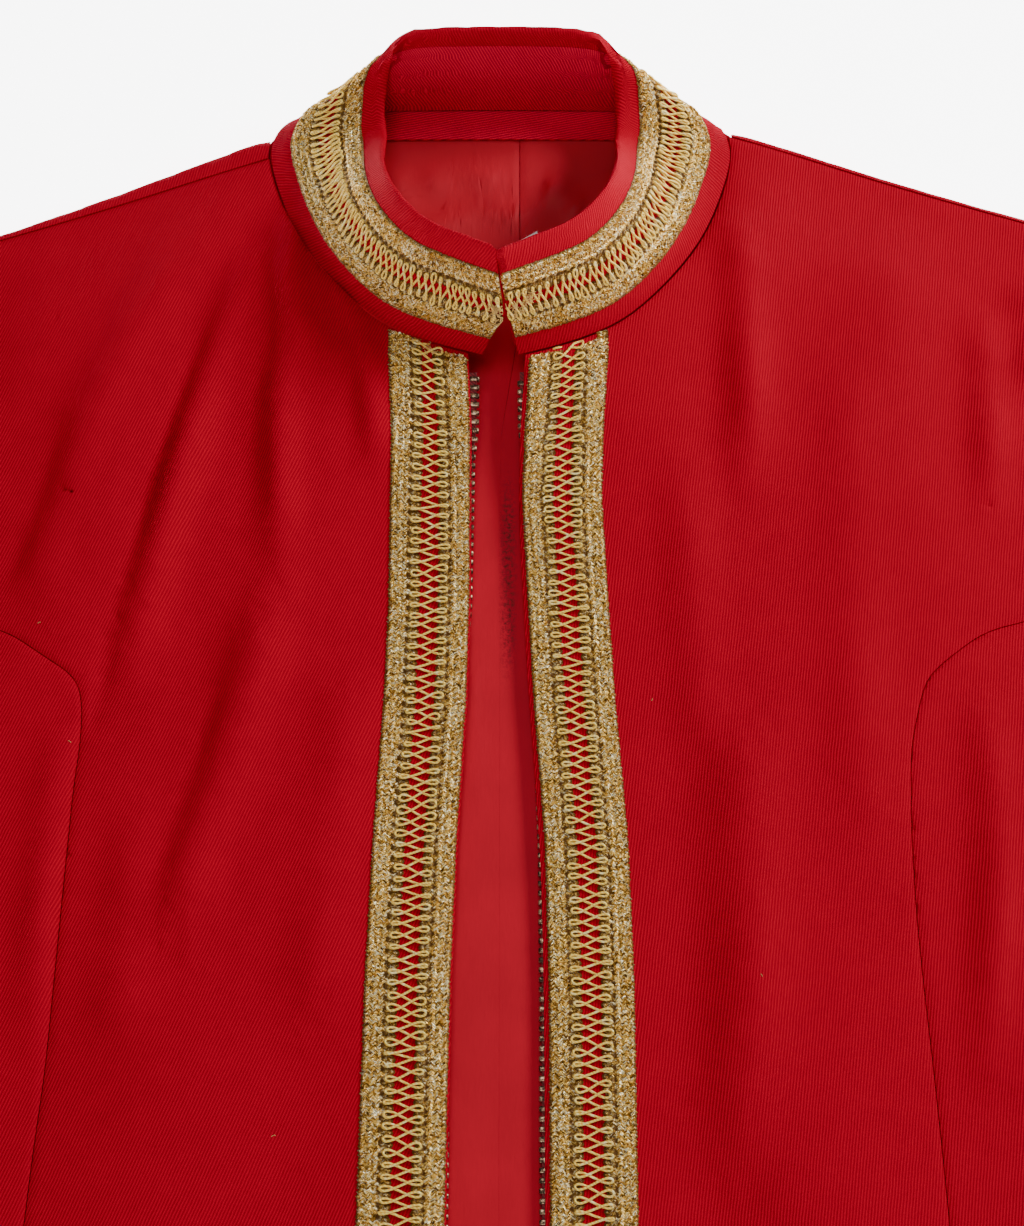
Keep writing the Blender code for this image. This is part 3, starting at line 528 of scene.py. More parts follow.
streak = maths(tree, "MULTIPLY", maths(tree, "MULTIPLY", streak, dots), 0.8)
colour = blended(tree, streak, colour, (0.035, 0.006, 0.008, 1.0))
# Towards the neck the satin is painted a paler, duller red: a painted sheen of white light on it
painted_sheen = maths(tree, "MULTIPLY", band(tree, where.outputs[1], HEM + 0.52, HEM + 0.56), 0.4)
colour = blended(tree, painted_sheen, colour, (0.42, 0.022, 0.032, 1.0))
tree.links.new(colour, shader.inputs["Base Color"])
add_bump(tree, shader, threads, 0.05 * MM, 0.6)
shader.inputs["Roughness"].default_value = 0.55
shader.inputs["Specular IOR Level"].default_value = 0.24
shader.inputs["Specular Tint"].default_value = (1.0, 0.45, 0.42, 1.0)

# The lining's soft ridges: path, width and height in mm
LINING_WRINKLES = (
    (((-38, 580), (-24, 582), (-13, 588), (-3, 586), (4, 580)), 5, 2.3),
    (((-34, 600), (-18, 604), (-4, 600)), 6, 1.4),
    (((10, 601), (21, 596), (33, 586)), 5, 2.2),
    (((-44, 610), (-39, 588), (-41, 566)), 5, 1.3),
    (((48, 606), (44, 590), (46, 574)), 5, 1.3),
    (((-14, 470), (-10, 380), (-12, 250), (-11, 120)), 5, 0.7),
    (((10, 330), (8, 220), (11, 60)), 6, 0.6),
)


def lining_shape(points):
    """The wrinkles, and the seam down the middle: shut below, pressed and drawn aside at the neck."""
    upper = points[:, 2] > 2.2 * MM
    for path, width, depth in LINING_WRINKLES:
        points[upper, 2] += crease_height(points[upper], path, width, depth)
    neck = np.clip((points[:, 1] - HEM - 0.49) / 0.05, 0.0, 1.0)
    near = np.exp(-((points[:, 0] / 0.02) ** 2))
    shut = 0.14 * MM * np.clip(1 - np.abs(points[:, 0]) / (4 * MM), 0, 1) * (1 - neck)
    points[upper, 2] -= (0.5 * MM * neck * np.exp(-((points[:, 0] / (1.6 * MM)) ** 2)))[upper]
    points[:, 0] += 7.6 * MM * neck * near - shut * np.sign(points[:, 0])
    return points


for name in ("right_back_lining", "left_back_lining"):
    cloth_piece(name, 2.6 * MM, satin, "satin", 3, 0.0, lining_shape, 0.54)

# The neck facing, a strip of the wool inside the back neck seam, and the blank white label that is tacked
# below it.
# The neck facing's wool is painted brighter, as painted light in the collar's shade
facing_wool = wool_material("wool_facing", 12.0, red=FACING_RED_PAINTED_LIGHT)
neck_facing = cloth_piece("neck_facing", 3 * MM, facing_wool, "wool", rounds=6, roll=0.0)

white_tape, tree, shader = new_finish("white_tape")
spot = put(tree, "TexCoord").outputs["Object"]
weave = put(tree, "TexWave", {"Vector": spot, "Scale": 900.0, "Distortion": 1.5}).outputs["Fac"]
soiled = noise(tree, spot, 8 * MM, 3.0)
tone = maths(tree, "ADD", maths(tree, "MULTIPLY", weave, 0.25), maths(tree, "MULTIPLY", soiled, 0.75))
colour = blended(tree, tone, (0.82, 0.80, 0.77, 1.0), (0.97, 0.96, 0.94, 1.0))
tree.links.new(colour, shader.inputs["Base Color"])
add_bump(tree, shader, weave, 0.05 * MM, 0.8)
shader.inputs["Roughness"].default_value = 0.6


def tacked(points):
    """The label hangs from its tacks aslant, a little below its solid, and its ends curl up."""
    off = points[:, 0] - points[:, 0].mean()
    points[:, 1] += 0.20 * (points[:, 0] - points[:, 0].max())
    points += np.array((-3.0, -1.8, 0.0)) * MM
    points[:, 2] += 0.7 * MM * (off / (15 * MM)) ** 4
    return points


label = cloth_piece("label", 2.5 * MM, white_tape, "white_tape", rounds=2, roll=0.0, shape=tacked)

# The stand collar: a band of the wool that stands up as a ring and leans inwards, with its edge turned in
# over the top and a facing sewn inside it. Its ribs run across the band.
COLLAR_STEPS = 260
# The seam and the top edge of one half at 13 places, from the centre front to the centre back, in mm from
# the centre front and the hem: where the seam lies, and where the top edge leans to
COLLAR_PLACES = (
    (7.0, 520.0, 15.7, 0.4, 542.0, 58.0),
    (28.0, 526.0, 15.4, 18.0, 551.0, 55.5),
    (48.0, 536.0, 14.4, 31.0, 559.5, 52.5),
    (66.0, 554.0, 13.2, 42.0, 575.0, 48.0),
    (79.0, 573.0, 12.1, 45.5, 591.5, 39.5),
    (87.0, 592.0, 11.0, 45.5, 606.5, 28.0),
    (91.5, 609.0, 10.0, 45.0, 616.5, 21.0),
    (90.5, 619.0, 8.6, 45.0, 626.5, 23.5),
    (85.5, 626.5, 5.4, 45.0, 634.0, 31.0),
    (76.0, 631.5, 2.6, 43.0, 639.0, 38.0),
    (58.0, 634.5, 1.6, 38.0, 642.5, 45.0),
    (30.0, 635.0, 1.6, 25.0, 643.0, 48.8),
    (0.0, 635.2, 1.6, 0.0, 643.2, 49.3),
)
half = np.array(COLLAR_PLACES) * MM
whole = smooth_curve(np.vstack([half, half[-2::-1] * (-1, 1, 1, -1, 1, 1)]), COLLAR_STEPS)
whole[:, [1, 4]] += HEM
seam_line, top_line = whole[:, :3], whole[:, 3:]
rise = top_line - seam_line
rise /= np.linalg.norm(rise, axis=1)[:, None]


def collar_places(points):
    """Where points lie on the collar's flat band: along the ring, and up from its seam."""
    levels = np.linspace(0, 1, 6)
    rows = seam_line[:, None] + (top_line - seam_line)[:, None] * levels[None, :, None]
    ahead = np.gradient(rows, axis=0)
    tree = tree_of(rows.reshape(-1, 3))
    near = np.array([tree.find(point)[1] for point in points])
    place, step = rows.reshape(-1, 3)[near], ahead.reshape(-1, 3)[near]
    station = near // len(levels)
    turn = station + np.einsum("ij,ij->i", points - place, step) / np.einsum("ij,ij->i", step, step)
    spacing = np.linalg.norm(ahead[:, 3], axis=1).mean()
    up = np.einsum("ij,ij->i", points - seam_line[station], rise[station])
    return np.column_stack([turn * spacing, up])


def close_ends(points):
    """Draws the collar's two front ends together, so that the slit between them opens at its foot alone."""
    seam_height, band_rise, slit_foot, end_ease = 15.7, 42.3, 0.42, 26
    x, y, z = points.T / MM
    side = np.sign(x)
    level = np.clip((z - seam_height) / band_rise, 0.0, 1.05)
    old_end = 7.0 - 6.6 * level
    slit = np.interp(level, (slit_foot, 1.0), (2.2, -1.4))
    foot = np.clip(1 - level / slit_foot, 0.0, 1.0) ** 0.8
    right_end, left_end = slit - 0.35 - (slit + 6.5) * foot, slit + 0.35 + (6.6 - slit) * foot
    shift = np.where(side < 0, right_end, left_end) - side * old_end
    share = np.clip(1 - (np.abs(x) - old_end) / end_ease, 0.0, 1.0)
    pull = shift * share**2 * (3 - 2 * share) * np.clip((HEM / MM + 572 - y) / 20, 0.0, 1.0)
    return np.column_stack([x + pull, y + side * pull * (0.28 + 0.23 * level), z]) * MM


collar_wool = wool_material("wool_collar", 68.0, mapped=True)
collar = cloth_piece("collar", 3 * MM, collar_wool, "wool", 4, 0.0, close_ends, flat=collar_places)
# The collar facing's wool is painted brighter, as painted light in the collar's shade
inner_wool = wool_material("wool_collar_facing", 68.0, mapped=True, red=FACING_RED_PAINTED_LIGHT)
collar_facing = cloth_piece(
    "collar_facing", 3 * MM, inner_wool, "wool", 4, 0.0, close_ends, flat=collar_places
)

# The gold lace, sewn on near the edges: two bands of knobbly, glittering metal yarn, joined by a lattice of
# one golden gimp cord that runs to and fro in loops, with the red wool showing between its strands.
LACE_WIDTH = 30.5 * MM
LATTICE_PITCH = 4.08 * MM
LATTICE_REACH = 6.7 * MM
LATTICE_SWAY = 1.3 * MM
GIMP_RADIUS = 0.45 * MM
OPEN_HALF = 3.8 * MM
HOLE_AT = 7.7 * MM
WALE = 2.45 * MM
LACE_TOP = 1.15 * MM

lurex, tree, shader = new_finish("lurex")
spot = put(tree, "TexCoord").outputs["Object"]
flat_place = put(tree, "SeparateXYZ", {0: put(tree, "UVMap", uv_map="cloth").outputs[0]})
leg = maths(tree, "PINGPONG", maths(tree, "DIVIDE", flat_place.outputs[0], WALE), 0.5)
slanted = maths(tree, "MULTIPLY_ADD", leg, 2.2 * MM, flat_place.outputs[1])
thread_x = maths(tree, "DIVIDE", flat_place.outputs[0], 0.80 * MM)
thread_y = maths(tree, "DIVIDE", slanted, 0.36 * MM)
thread_place = put(tree, "CombineXYZ", {0: thread_x, 1: thread_y}).outputs[0]
threads = put(tree, "TexVoronoi", {"Vector": thread_place, "Scale": 1.0})
thread_tone = put(tree, "SeparateColor", {0: threads.outputs["Color"]}).outputs[0]
ramp = put(tree, "ValToRGB", {0: thread_tone})
# The tones of the threads: a painted shade for those in the dark, the gold's own tones between, and a painted
# glint for those that glitter
LUREX_TONES = (
    (0.0, (0.060, 0.021, 0.002)),
    (0.28, (0.33, 0.150, 0.020)),
    (0.56, (0.82, 0.46, 0.080)),
    (0.82, (1.0, 0.72, 0.21)),
    (0.95, (1.0, 0.94, 0.64)),
)
while len(ramp.color_ramp.elements) < len(LUREX_TONES):
    ramp.color_ramp.elements.new(0.5)
for element, (place, tint) in zip(ramp.color_ramp.elements, LUREX_TONES):
    element.position, element.color = place, (*tint, 1.0)
# Painted glints: a few tiny cells of the yarn painted pale, as highlights on the metal
painted_glints = put(tree, "TexVoronoi", {"Vector": spot, "Scale": 1.0 / (0.42 * MM)})
painted_glint = put(tree, "SeparateColor", {0: painted_glints.outputs["Color"]}).outputs[1]
painted_glint = band(tree, painted_glint, 0.92, 0.945)
colour = blended(tree, maths(tree, "MULTIPLY", painted_glint, 0.9), ramp.outputs[0], (1.0, 0.92, 0.62, 1.0))
# Painted shade in the hollows: the lower the yarn lies, the darker it is painted, and the holes are painted a
# dark red, the wool under them in painted shadow
pit = put(tree, "Attribute", attribute_name="pit").outputs["Fac"]
colour = blended(tree, band(tree, pit, 0.3, 0.8), colour, (0.11, 0.042, 0.006, 1.0))
colour = blended(tree, band(tree, pit, 0.82, 0.97), colour, (0.07, 0.002, 0.004, 1.0))
tree.links.new(colour, shader.inputs["Base Color"])
metal = maths(tree, "MULTIPLY_ADD", band(tree, pit, 0.3, 0.9), -0.7, 0.7)
tree.links.new(metal, shader.inputs["Metallic"])
add_bump(tree, shader, threads.outputs["Distance"], -0.3 * MM, 0.9)
shader.inputs["Roughness"].default_value = 0.34
shader.inputs["Specular IOR Level"].default_value = 0.4
shader.inputs["Specular Tint"].default_value = (1.0, 0.75, 0.4, 1.0)

gimp, tree, shader = new_finish("gimp")
spot = put(tree, "TexCoord").outputs["Object"]
twisted = {"Vector": spot, "Scale": 420.0, "Distortion": 3.0}
twist = put(tree, "TexWave", twisted, bands_direction="DIAGONAL")
painted_highlights = noise(tree, spot, 2.2 * MM, 3.0)
# The cord is painted lighter and darker along its twist, a painted shade in the twist's grooves, and its pale
# patches are painted highlights
colour = blended(tree, twist.outputs["Fac"], (0.92, 0.50, 0.060, 1.0), (1.0, 0.80, 0.21, 1.0))
colour = blended(tree, band(tree, painted_highlights, 0.52, 0.72), colour, (1.0, 0.88, 0.45, 1.0))
tree.links.new(colour, shader.inputs["Base Color"])
add_bump(tree, shader, twist.outputs["Fac"], 0.08 * MM, 0.8)
shader.inputs["Metallic"].default_value = 0.15
shader.inputs["Roughness"].default_value = 0.36
shader.inputs["Specular Tint"].default_value = (1.0, 0.8, 0.45, 1.0)


class Ground:
    """The surface that a strip of lace lies on, as a grid of points along and across the strip."""

    def __init__(self, grid):
        self.grid = grid
        run, side = np.gradient(grid, axis=0), np.gradient(grid, axis=1)
        normals = np.cross(side, run)
        self.normals = normals / np.linalg.norm(normals, axis=2)[:, :, None]
        steps = np.linalg.norm(np.diff(grid[:, grid.shape[1] // 2], axis=0), axis=1)
        self.along = np.concatenate([[0], np.cumsum(steps)])
        self.length = self.along[-1]

    def at(self, run, across, lift):
        """Points at distances along and across the strip, lifted off the ground."""
        i = np.interp(run, self.along, np.arange(len(self.along)))
        j = np.clip(across / LACE_WIDTH, 0, 1) * (self.grid.shape[1] - 1)
        beyond = across - np.clip(across, 0, LACE_WIDTH)
        i0 = np.clip(i.astype(int), 0, self.grid.shape[0] - 2)
        j0 = np.clip(j.astype(int), 0, self.grid.shape[1] - 2)
        a, b = (i - i0)[..., None], (j - j0)[..., None]

        def mixed(field):
            low = field[i0, j0] * (1 - b) + field[i0, j0 + 1] * b
            high = field[i0 + 1, j0] * (1 - b) + field[i0 + 1, j0 + 1] * b
            return low * (1 - a) + high * a

        side = self.grid[i0, j0 + 1] - self.grid[i0, j0]
        side = side / np.linalg.norm(side, axis=-1)[..., None]
        return mixed(self.grid) + side * beyond[..., None] + mixed(self.normals) * lift[..., None]


def strip_faces(rows, columns):
    """The quads of a strip whose every row is a closed ring, and its two end caps."""
    first = np.arange(rows - 1)[:, None] * columns + np.arange(columns)[None, :]
    after = np.arange(rows - 1)[:, None] * columns + (np.arange(columns)[None, :] + 1) % columns
    quads = np.stack([first, after, after + columns, first + columns], axis=-1).reshape(-1, 4)
    caps = [list(range(columns))[::-1], list(range((rows - 1) * columns, rows * columns))]
    return quads.tolist() + caps


def lace_band(ground, inner_side, chance, pitch, ease):
    """One glittering band, with its edge knots, its wales of stitches and the holes beside the lattice's
    loops. Gives its rows of points, with the place on the flat lace and the pit of each."""
    step, stitch = 0.5 * MM, pitch / 3
    run = np.arange(int(ground.length / step) + 1) * step
    parts = 25
    share = np.linspace(0, 1, parts)
    middle = LACE_WIDTH / 2
    knots = 0.26 * MM * np.sin(2 * np.pi * run / stitch) + chance.normal(0, 0.12 * MM, len(run))
    scallop = 0.6 * MM * np.cos(2 * np.pi * run / pitch + (0 if inner_side else np.pi))
    outer = middle - 0.35 * MM + knots
    inner = OPEN_HALF * ease(run) + scallop + chance.normal(0, 0.08 * MM, len(run))
    off = inner[:, None] + share[None, :] * (outer - inner)[:, None]
    across = middle + (-off if inner_side else off)
    hole_at = HOLE_AT * (0.5 + 0.5 * ease(run))[:, None]
    wale = (off - hole_at) / WALE
    swing = np.sin(2 * np.pi * (run[:, None] / stitch + 0.37 * np.floor(wale))) * 0.24
    ridge = np.abs(np.sin(np.pi * (wale + 0.08 * np.sin(2 * np.pi * run[:, None] / stitch))))
    rough = chance.normal(0, 0.13, off.shape)
    under_loops = np.clip((off / hole_at - 0.88) / 0.2, 0, 1)
    edge = np.clip(np.minimum(share, 1 - share) * parts / 2.2, 0.35, 1)[None, :]
    height = LACE_TOP * edge * np.clip(0.58 + 0.34 * ridge + swing + rough, 0.15, 1.25)
    height *= 0.52 + 0.48 * under_loops
    phase = (run[:, None] / pitch + (0.25 if inner_side else 0.75)) % 1 - 0.5
    hole = np.exp(-((phase * pitch / (0.85 * MM)) ** 2) - ((off - hole_at) / (0.85 * MM)) ** 2)
    height *= 1 - 0.92 * hole
    pits = np.clip(1 - height / LACE_TOP, 0, 1)
    bottom = np.full((len(run), 1), 0.12 * MM)
    across = np.hstack([across[:, :1], across, across[:, -1:]])
    height = np.hstack([bottom, height, bottom])
    pits = np.hstack([pits[:, :1], pits, pits[:, -1:]])
    runs = np.repeat(run[:, None], parts + 2, axis=1)
    rows = np.dstack([ground.at(runs, across, height), across, runs, pits])
    return rows if inner_side else rows[:, ::-1]


def gimp_lattice(ground, chance, pitch, ease, wander):
    """The golden cord, one turn each way a repeat, with a loop at each end where it crosses itself."""
    repeats = int(ground.length / pitch)
    turn = np.arange(repeats * 28 + 1) / 28
    knots = np.arange(repeats + 2)
    drifts = [np.interp(turn, knots, chance.normal(0, wander, len(knots))) for _ in range(3)]
    reach, sway, drift = drifts
    angle = 2 * np.pi * turn
    middle = LACE_WIDTH / 2
    share = 0.45 + 0.55 * ease(pitch * turn)
    across = middle + LATTICE_REACH * share * (1 + 0.04 * reach) * np.sin(angle)
    swing = LATTICE_SWAY * pitch / LATTICE_PITCH * (1 + 0.15 * sway)
    run = pitch * (turn + 0.25) + swing * np.sin(2 * angle)
    lift = 1.35 * MM + GIMP_RADIUS * (0.4 + 0.9 * np.cos(angle))
    lift -= 0.65 * MM * np.exp(-((across - middle) / (3 * MM)) ** 2)
    line = ground.at(run + 0.17 * MM * drift, across, np.maximum(lift, 0.5 * MM))
    return tube(line, GIMP_RADIUS, 7)


def tube(line, radius, sides):
    """Rings of points along a line, as a closed tube's points and faces."""
    ahead = np.gradient(line, axis=0)
    ahead /= np.linalg.norm(ahead, axis=1)[:, None]
    side = np.cross(ahead, (0.0, 0.0, 1.0))
    side /= np.linalg.norm(side, axis=1)[:, None] + 1e-12
    up = np.cross(side, ahead)
    turn = (2 * np.pi * np.arange(sides) / sides)[None, :, None]
    rings = line[:, None] + radius * (np.cos(turn) * side[:, None] + np.sin(turn) * up[:, None])
    return rings.reshape(-1, 3), strip_faces(len(line), sides)


def sew_lace(name, ground, seed, pitch, ease, wander=1.0):
    """A strip of lace in place of its solid: the two bands in one piece and the gimp cord on it."""
    chance = np.random.default_rng(seed)
    strips = []
    for inner_side in (True, False):
        rows = lace_band(ground, inner_side, chance, pitch, ease)
        strips.append((rows.reshape(-1, 6), strip_faces(*rows.shape[:2])))
    points, faces = joined(strips)
    flat_places, pits = points[:, 3:5], points[:, 5]
    bands = mesh_piece(f"{name}_bands", points[:, :3], faces, lurex, "gold_lace", flat_places, pits)
    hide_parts(name)
    points, faces = gimp_lattice(ground, chance, pitch, ease, wander)
    cord = mesh_piece(f"{name}_lattice", points, faces, gimp, "gold_lace")
    return bands, cord


lace, front_grounds = {}, {}
for name, sign, inner, seed in (("right_front", -1, right_edge, 3), ("left_front", 1, left_edge, 7)):
    surface = BVHTree.FromObject(fronts[name], bpy.context.evaluated_depsgraph_get())
    _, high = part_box(f"{name}_braid")
    columns, rows, slope, slope_end = 9, 180, 9.5 * MM, 0.22
    share = np.linspace(0, 1, columns)
    grid = np.zeros((rows + 1, columns, 3))
    for i in range(rows + 1):
        along = i / rows
        start = high.y - HEM - slope + slope * share**1.2
        y = start[0] * (1 - along) + (start - start[0]) * max(0.0, 1 - along / slope_end) ** 2
        x = sign * (np.interp(y, edge_heights, inner) + share * LACE_WIDTH)
        for j in range(columns):
            hit = surface.ray_cast(Vector((x[j], y[j] + HEM, 0.1)), DOWN)[0]
            grid[i, j] = (x[j], y[j] + HEM, hit.z if hit else grid[i, j - 1, 2])
    ground = front_grounds[name] = Ground(grid[::-sign])
    from_collar = (lambda run: run) if sign < 0 else (lambda run, whole=ground.length: whole - run)

    def ease(run):
        return np.interp(from_collar(run), (0.0, 0.07), (0.6, 1.0))

    lace[name] = sew_lace(f"{name}_braid", ground, seed, LATTICE_PITCH, ease, 1.5)

surface = BVHTree.FromObject(collar, bpy.context.evaluated_depsgraph_get())
shares = np.linspace(0, 1, 9)
grid = seam_line[:, None] + rise[:, None] * (8.3 * MM + LACE_WIDTH * shares)[None, :, None]
inward = np.cross(rise, np.gradient((seam_line + top_line) / 2, axis=0))
inward /= np.linalg.norm(inward, axis=1)[:, None]
grid = close_ends(grid.reshape(-1, 3)).reshape(grid.shape)
for i in range(grid.shape[0]):
    for j in range(grid.shape[1]):
        outside = Vector(grid[i, j] - inward[i] * 6 * MM)
        hit = surface.ray_cast(outside, Vector(inward[i]))[0]
        if hit:
            grid[i, j] = hit
collar_ground = Ground(grid[::-1])
lace["collar"] = sew_lace(
    "collar_braid", collar_ground, 11, 3.0 * MM, lambda run: np.full_like(run, 0.72), 2.0
)

# Loose core threads where the lace was cut at the collar's front and at the top of the right front, and a
# little pale lint on the wool.
THREAD_RINGS, THREAD_SIDES = 7, 4
view_graph = bpy.context.evaluated_depsgraph_get()
cloth_tops = [BVHTree.FromObject(piece, view_graph) for piece in fronts.values()]
raw_thread, tree, shader = new_finish("raw_thread")
uneven = noise(tree, put(tree, "TexCoord").outputs["Object"], 1.5 * MM, 3.0)
colour = blended(tree, uneven, (0.42, 0.23, 0.060, 1.0), (0.82, 0.55, 0.20, 1.0))
tree.links.new(colour, shader.inputs["Base Color"])
shader.inputs["Roughness"].default_value = 0.8


def loose_threads(name, ground, spots, length, slot):
    """Short, wavy threads round places on the ground, each with its count and its spread in mm."""
    chance = np.random.default_rng(len(name))
    share = np.linspace(0, 1, THREAD_RINGS)
    threads = []
    for run, across, count, spread in spots:
        for _ in range(count):
            at_run, at_across = np.array((run, across)) * MM + chance.normal(0, spread * MM, 2)
            turn, reach = chance.uniform(0, 2 * np.pi), length * chance.uniform(0.5, 1.2)
            bend = turn + chance.normal(0, 1.2) * share
            way = np.cumsum(np.column_stack([np.cos(bend), np.sin(bend)]), axis=0) / THREAD_RINGS * reach
            lift = chance.uniform(1.1, 1.7) * MM + 0.5 * MM * np.sin(np.pi * share)
            line = ground.at(at_run + way[:, 0], at_across + way[:, 1], lift)
            threads.append(tube(line, 0.17 * MM, THREAD_SIDES))
    return mesh_piece(name, *joined(threads), raw_thread, slot)


collar_end = collar_ground.length / MM
# Where threads lie along and across the lace in mm, how many, and how far they spread
COLLAR_FRAYS = (
    (3.0, 15.0, 34, 1.6),
    (2.5, 10.0, 16, 1.4),
    (collar_end - 3.0, 13.0, 30, 1.6),
    (collar_end - 9.0, 17.0, 14, 1.3),
)
FRONT_FRAYS = ((3.0, 15.0, 16, 1.3),)
front_ground = front_grounds["right_front"]
loose_threads("collar_braid_frays", collar_ground, COLLAR_FRAYS, 3.2 * MM, "gold_lace")
loose_threads("right_front_braid_frays", front_ground, FRONT_FRAYS, 3.0 * MM, "gold_lace")

# Where lint lies, in mm from the centre front and the hem, and how long it is
LINT = ((-76, 232, 1.8), (-169, 416, 1.5), (-155, 370, 1.6), (12, 217, 5.0), (55, 386, 1.2), (91, 285, 1.4))
chance = np.random.default_rng(5)
lint = []
for x, y, size in LINT:
    turn = chance.uniform(0, np.pi) + np.linspace(0, 1.6, THREAD_RINGS)
    line = np.cumsum(np.column_stack([np.cos(turn), np.sin(turn)]), axis=0) * size / THREAD_RINGS + (x, y)
    line = line * MM + (0, HEM)
    tops = []
    for place in line:
        hits = [top.ray_cast(Vector((*place, 0.1)), DOWN)[0] for top in cloth_tops]
        tops.append(max(hit.z if hit else 0.0 for hit in hits))
    lint.append(tube(np.column_stack([line, np.array(tops) + 0.12 * MM]), 0.09 * MM, THREAD_SIDES))
mesh_piece("lint", *joined(lint), raw_thread, "white_tape")

# The zip: two woven tapes under the front edges, each with its row of dark, worn brass teeth. At the hem,
# the right tape has the slider with its pull tab and the box, and the left tape has the pin.
zip_tape, tree, shader = new_finish("zip_tape")
spot = put(tree, "TexCoord").outputs["Object"]
woven = {"Vector": spot, "Scale": 380.0, "Distortion": 1.0}
weave = put(tree, "TexWave", woven, bands_direction="DIAGONAL").outputs["Fac"]
colour = blended(tree, weave, (0.09, 0.006, 0.008, 1.0), (0.24, 0.012, 0.016, 1.0))
tree.links.new(colour, shader.inputs["Base Color"])
add_bump(tree, shader, weave, 0.08 * MM, 0.8)
shader.inputs["Roughness"].default_value = 0.8


def brass_material(name, worn_size, dark, bright):
    """Old brass: dark tarnish with worn, coppery places."""
    finish, tree, shader = new_finish(name)
    spot = put(tree, "TexCoord").outputs["Object"]
    tarnish = noise(tree, spot, worn_size, 4.0, 0.65)
    colour = blended(tree, band(tree, tarnish, 0.42, 0.64), (*dark, 1.0), (*bright, 1.0))
    tree.links.new(colour, shader.inputs["Base Color"])
    tree.links.new(maths(tree, "MULTIPLY_ADD", tarnish, -0.3, 0.55), shader.inputs["Roughness"])
    add_bump(tree, shader, tarnish, 0.06 * MM, 0.6)
    shader.inputs["Metallic"].default_value = 0.85
    return finish


tooth_brass = brass_material("tooth_brass", 1.5 * MM, (0.05, 0.030, 0.018), (0.62, 0.42, 0.25))
slider_brass = brass_material("slider_brass", 2.4 * MM, (0.07, 0.045, 0.026), (0.40, 0.27, 0.14))
TOOTH_PITCH = 3.4 * MM
TOOTH_SIZE = np.array((4.2, 1.8, 2.4)) * MM
LEG_DEPTH = 1.0 * MM
FIRST_TOOTH, LAST_TOOTH = 2.5 * MM, 24 * MM
# Where the teeth's tips lie, in mm above the hem and out from the centre front on each side
TEETH_TIPS = (
    (522, 7.8, 6.4),
    (492, 8.0, 6.7),
    (480, 9.3, 8.3),
    (456, 9.7, 10.0),
    (424, 10.2, 11.5),
    (386, 13.0, 12.2),
    (356, 14.8, 12.8),
    (331, 16.0, 13.7),
    (278, 17.4, 13.9),
    (227, 17.0, 13.7),
    (0, 17.5, 14.0),
)


def chamfered_block():
    """A tooth before it is placed: a block with its edges rounded off, as points and faces."""
    form = bmesh.new()
    bmesh.ops.create_cube(form, size=1.0)
    bmesh.ops.bevel(form, geom=form.edges, offset=0.16, segments=2, profile=0.5, affect="EDGES")
    form.verts.index_update()
    points = np.array([vert.co for vert in form.verts])
    faces = [[vert.index for vert in face.verts] for face in form.faces]
    form.free()
    return points, faces


tooth_points, tooth_faces = chamfered_block()
tip_heights, right_tips, left_tips = np.array(TEETH_TIPS[::-1]).T * MM
for name, sign, offset, tips in (("right", -1, 0.0, right_tips), ("left", 1, 0.5, left_tips)):

    def drawn_back(points):
        """The tape's edge ends between the two legs of each tooth."""
        least = np.interp(points[:, 1] - HEM, tip_heights, tips) + LEG_DEPTH
        points[:, 0] = sign * np.maximum(np.abs(points[:, 0]), least)
        return points

    tape = cloth_piece(f"{name}_zip_tape", 4 * MM, zip_tape, "zip_tape", 0, 0.0, drawn_back)
    co = np.array([vert.co for vert in frame["nodes"][f"{name}_zip_tape"].data.vertices])
    stations = np.unique(np.round(co[:, 1], 5))
    rail = []
    for y in stations:
        ring = co[np.abs(co[:, 1] - y) < 1e-5]
        inner = ring[np.abs(ring[:, 0]) < np.abs(ring[:, 0]).min() + 1e-5]
        rail.append((inner[:, 0].mean(), y, inner[:, 2].mean()))
    rail = np.array(rail)
    row = []
    top = rail[-1, 1] - FIRST_TOOTH
    for y in np.arange(top - offset * TOOTH_PITCH, HEM + LAST_TOOTH, -TOOTH_PITCH):
        x = sign * (np.interp(y - HEM, tip_heights, tips) + TOOTH_SIZE[0] / 2)
        z = np.interp(y, rail[:, 1], rail[:, 2])
        row.append((tooth_points * TOOTH_SIZE + (x, y, z), tooth_faces))
    teeth = mesh_piece(f"{name}_teeth", *joined(row), tooth_brass, "aged_brass")
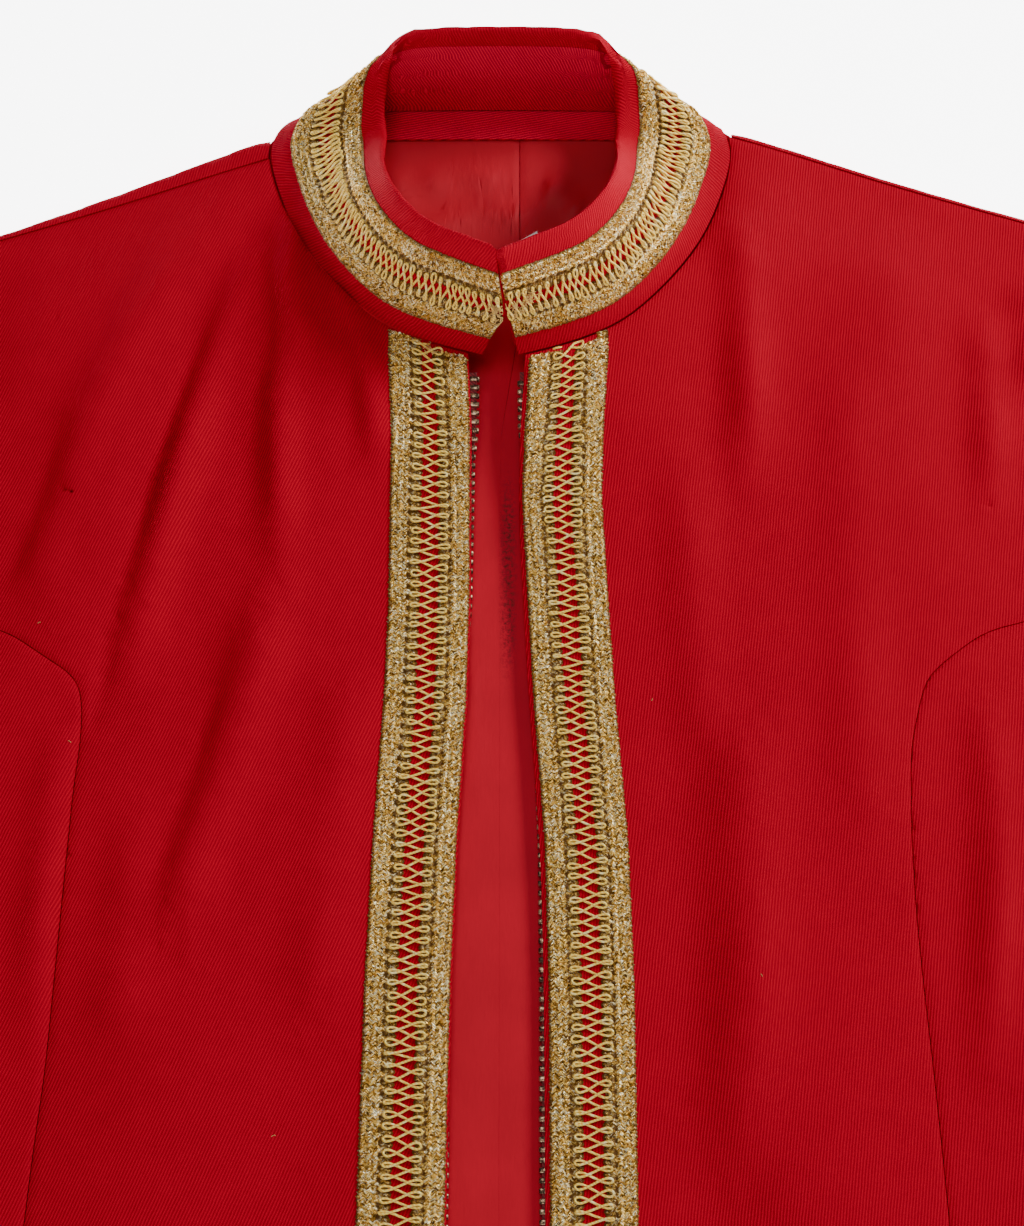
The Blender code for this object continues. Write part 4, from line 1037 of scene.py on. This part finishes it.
for name in ("zip_slider", "zip_pull_tab", "zip_pin", "zip_box"):
    metal = frame["nodes"][name]
    metal.data.materials.clear()
    metal.data.materials.append(slider_brass)
    edge = metal.modifiers.new("worn_edges", "BEVEL")
    edge.width, edge.segments, edge.limit_method = 0.25 * MM, 2, "ANGLE"

# A pale floor, a key light from the upper right, a wide fill from beyond the hem, a weak light above the
# neck and the fronts, and the camera at the photo's angle.
EYE = Vector((0.0045, -0.1394, 0.7383))
TILT = math.radians(18.0)
FRAME_PIXELS = 1226
FOCAL_PIXELS = 2083

floor_finish, _, shader = new_finish("pale_floor")
shader.inputs["Base Color"].default_value = (0.95, 0.95, 0.95, 1.0)
shader.inputs["Roughness"].default_value = 0.9
shader.inputs["Emission Color"].default_value = (1.0, 1.0, 1.0, 1.0)
shader.inputs["Emission Strength"].default_value = 7.0
bpy.ops.mesh.primitive_plane_add(size=14.0, location=(0.0, 0.0, -0.0005))
floor = bpy.context.object
floor.name = "floor"
floor.data.materials.append(floor_finish)


def soft_light(name, place, aim, size, power):
    data = bpy.data.lights.new(name, "AREA")
    data.shape, data.size, data.energy = "SQUARE", size, power
    light = bpy.data.objects.new(name, data)
    light.location = place
    light.rotation_euler = (Vector(aim) - Vector(place)).to_track_quat("-Z", "Y").to_euler()
    bpy.context.scene.collection.objects.link(light)


soft_light("key", (1.3, 0.85, 0.92), (0.0, 0.05, 0.0), 0.5, 29.0)
soft_light("fill", (-0.4, -3.3, 2.3), (0.0, 0.1, 0.0), 2.0, 64.0)
soft_light("top", (-0.12, 0.24, 1.1), (-0.05, 0.22, 0.0), 0.5, 3.2)
world = bpy.data.worlds.new("studio")
world.use_nodes = True
background = world.node_tree.nodes["Background"]
background.inputs["Color"].default_value = (1.0, 1.0, 1.0, 1.0)
background.inputs["Strength"].default_value = 0.13
bpy.context.scene.world = world

camera_data = bpy.data.cameras.new("camera")
camera_data.sensor_fit = "VERTICAL"
camera_data.sensor_height = camera_data.sensor_width
camera_data.lens = FOCAL_PIXELS / FRAME_PIXELS * camera_data.sensor_height
camera = bpy.data.objects.new("camera", camera_data)
camera.location = EYE
camera.rotation_euler = (TILT, 0.0, 0.0)
bpy.context.scene.collection.objects.link(camera)
bpy.context.scene.camera = camera
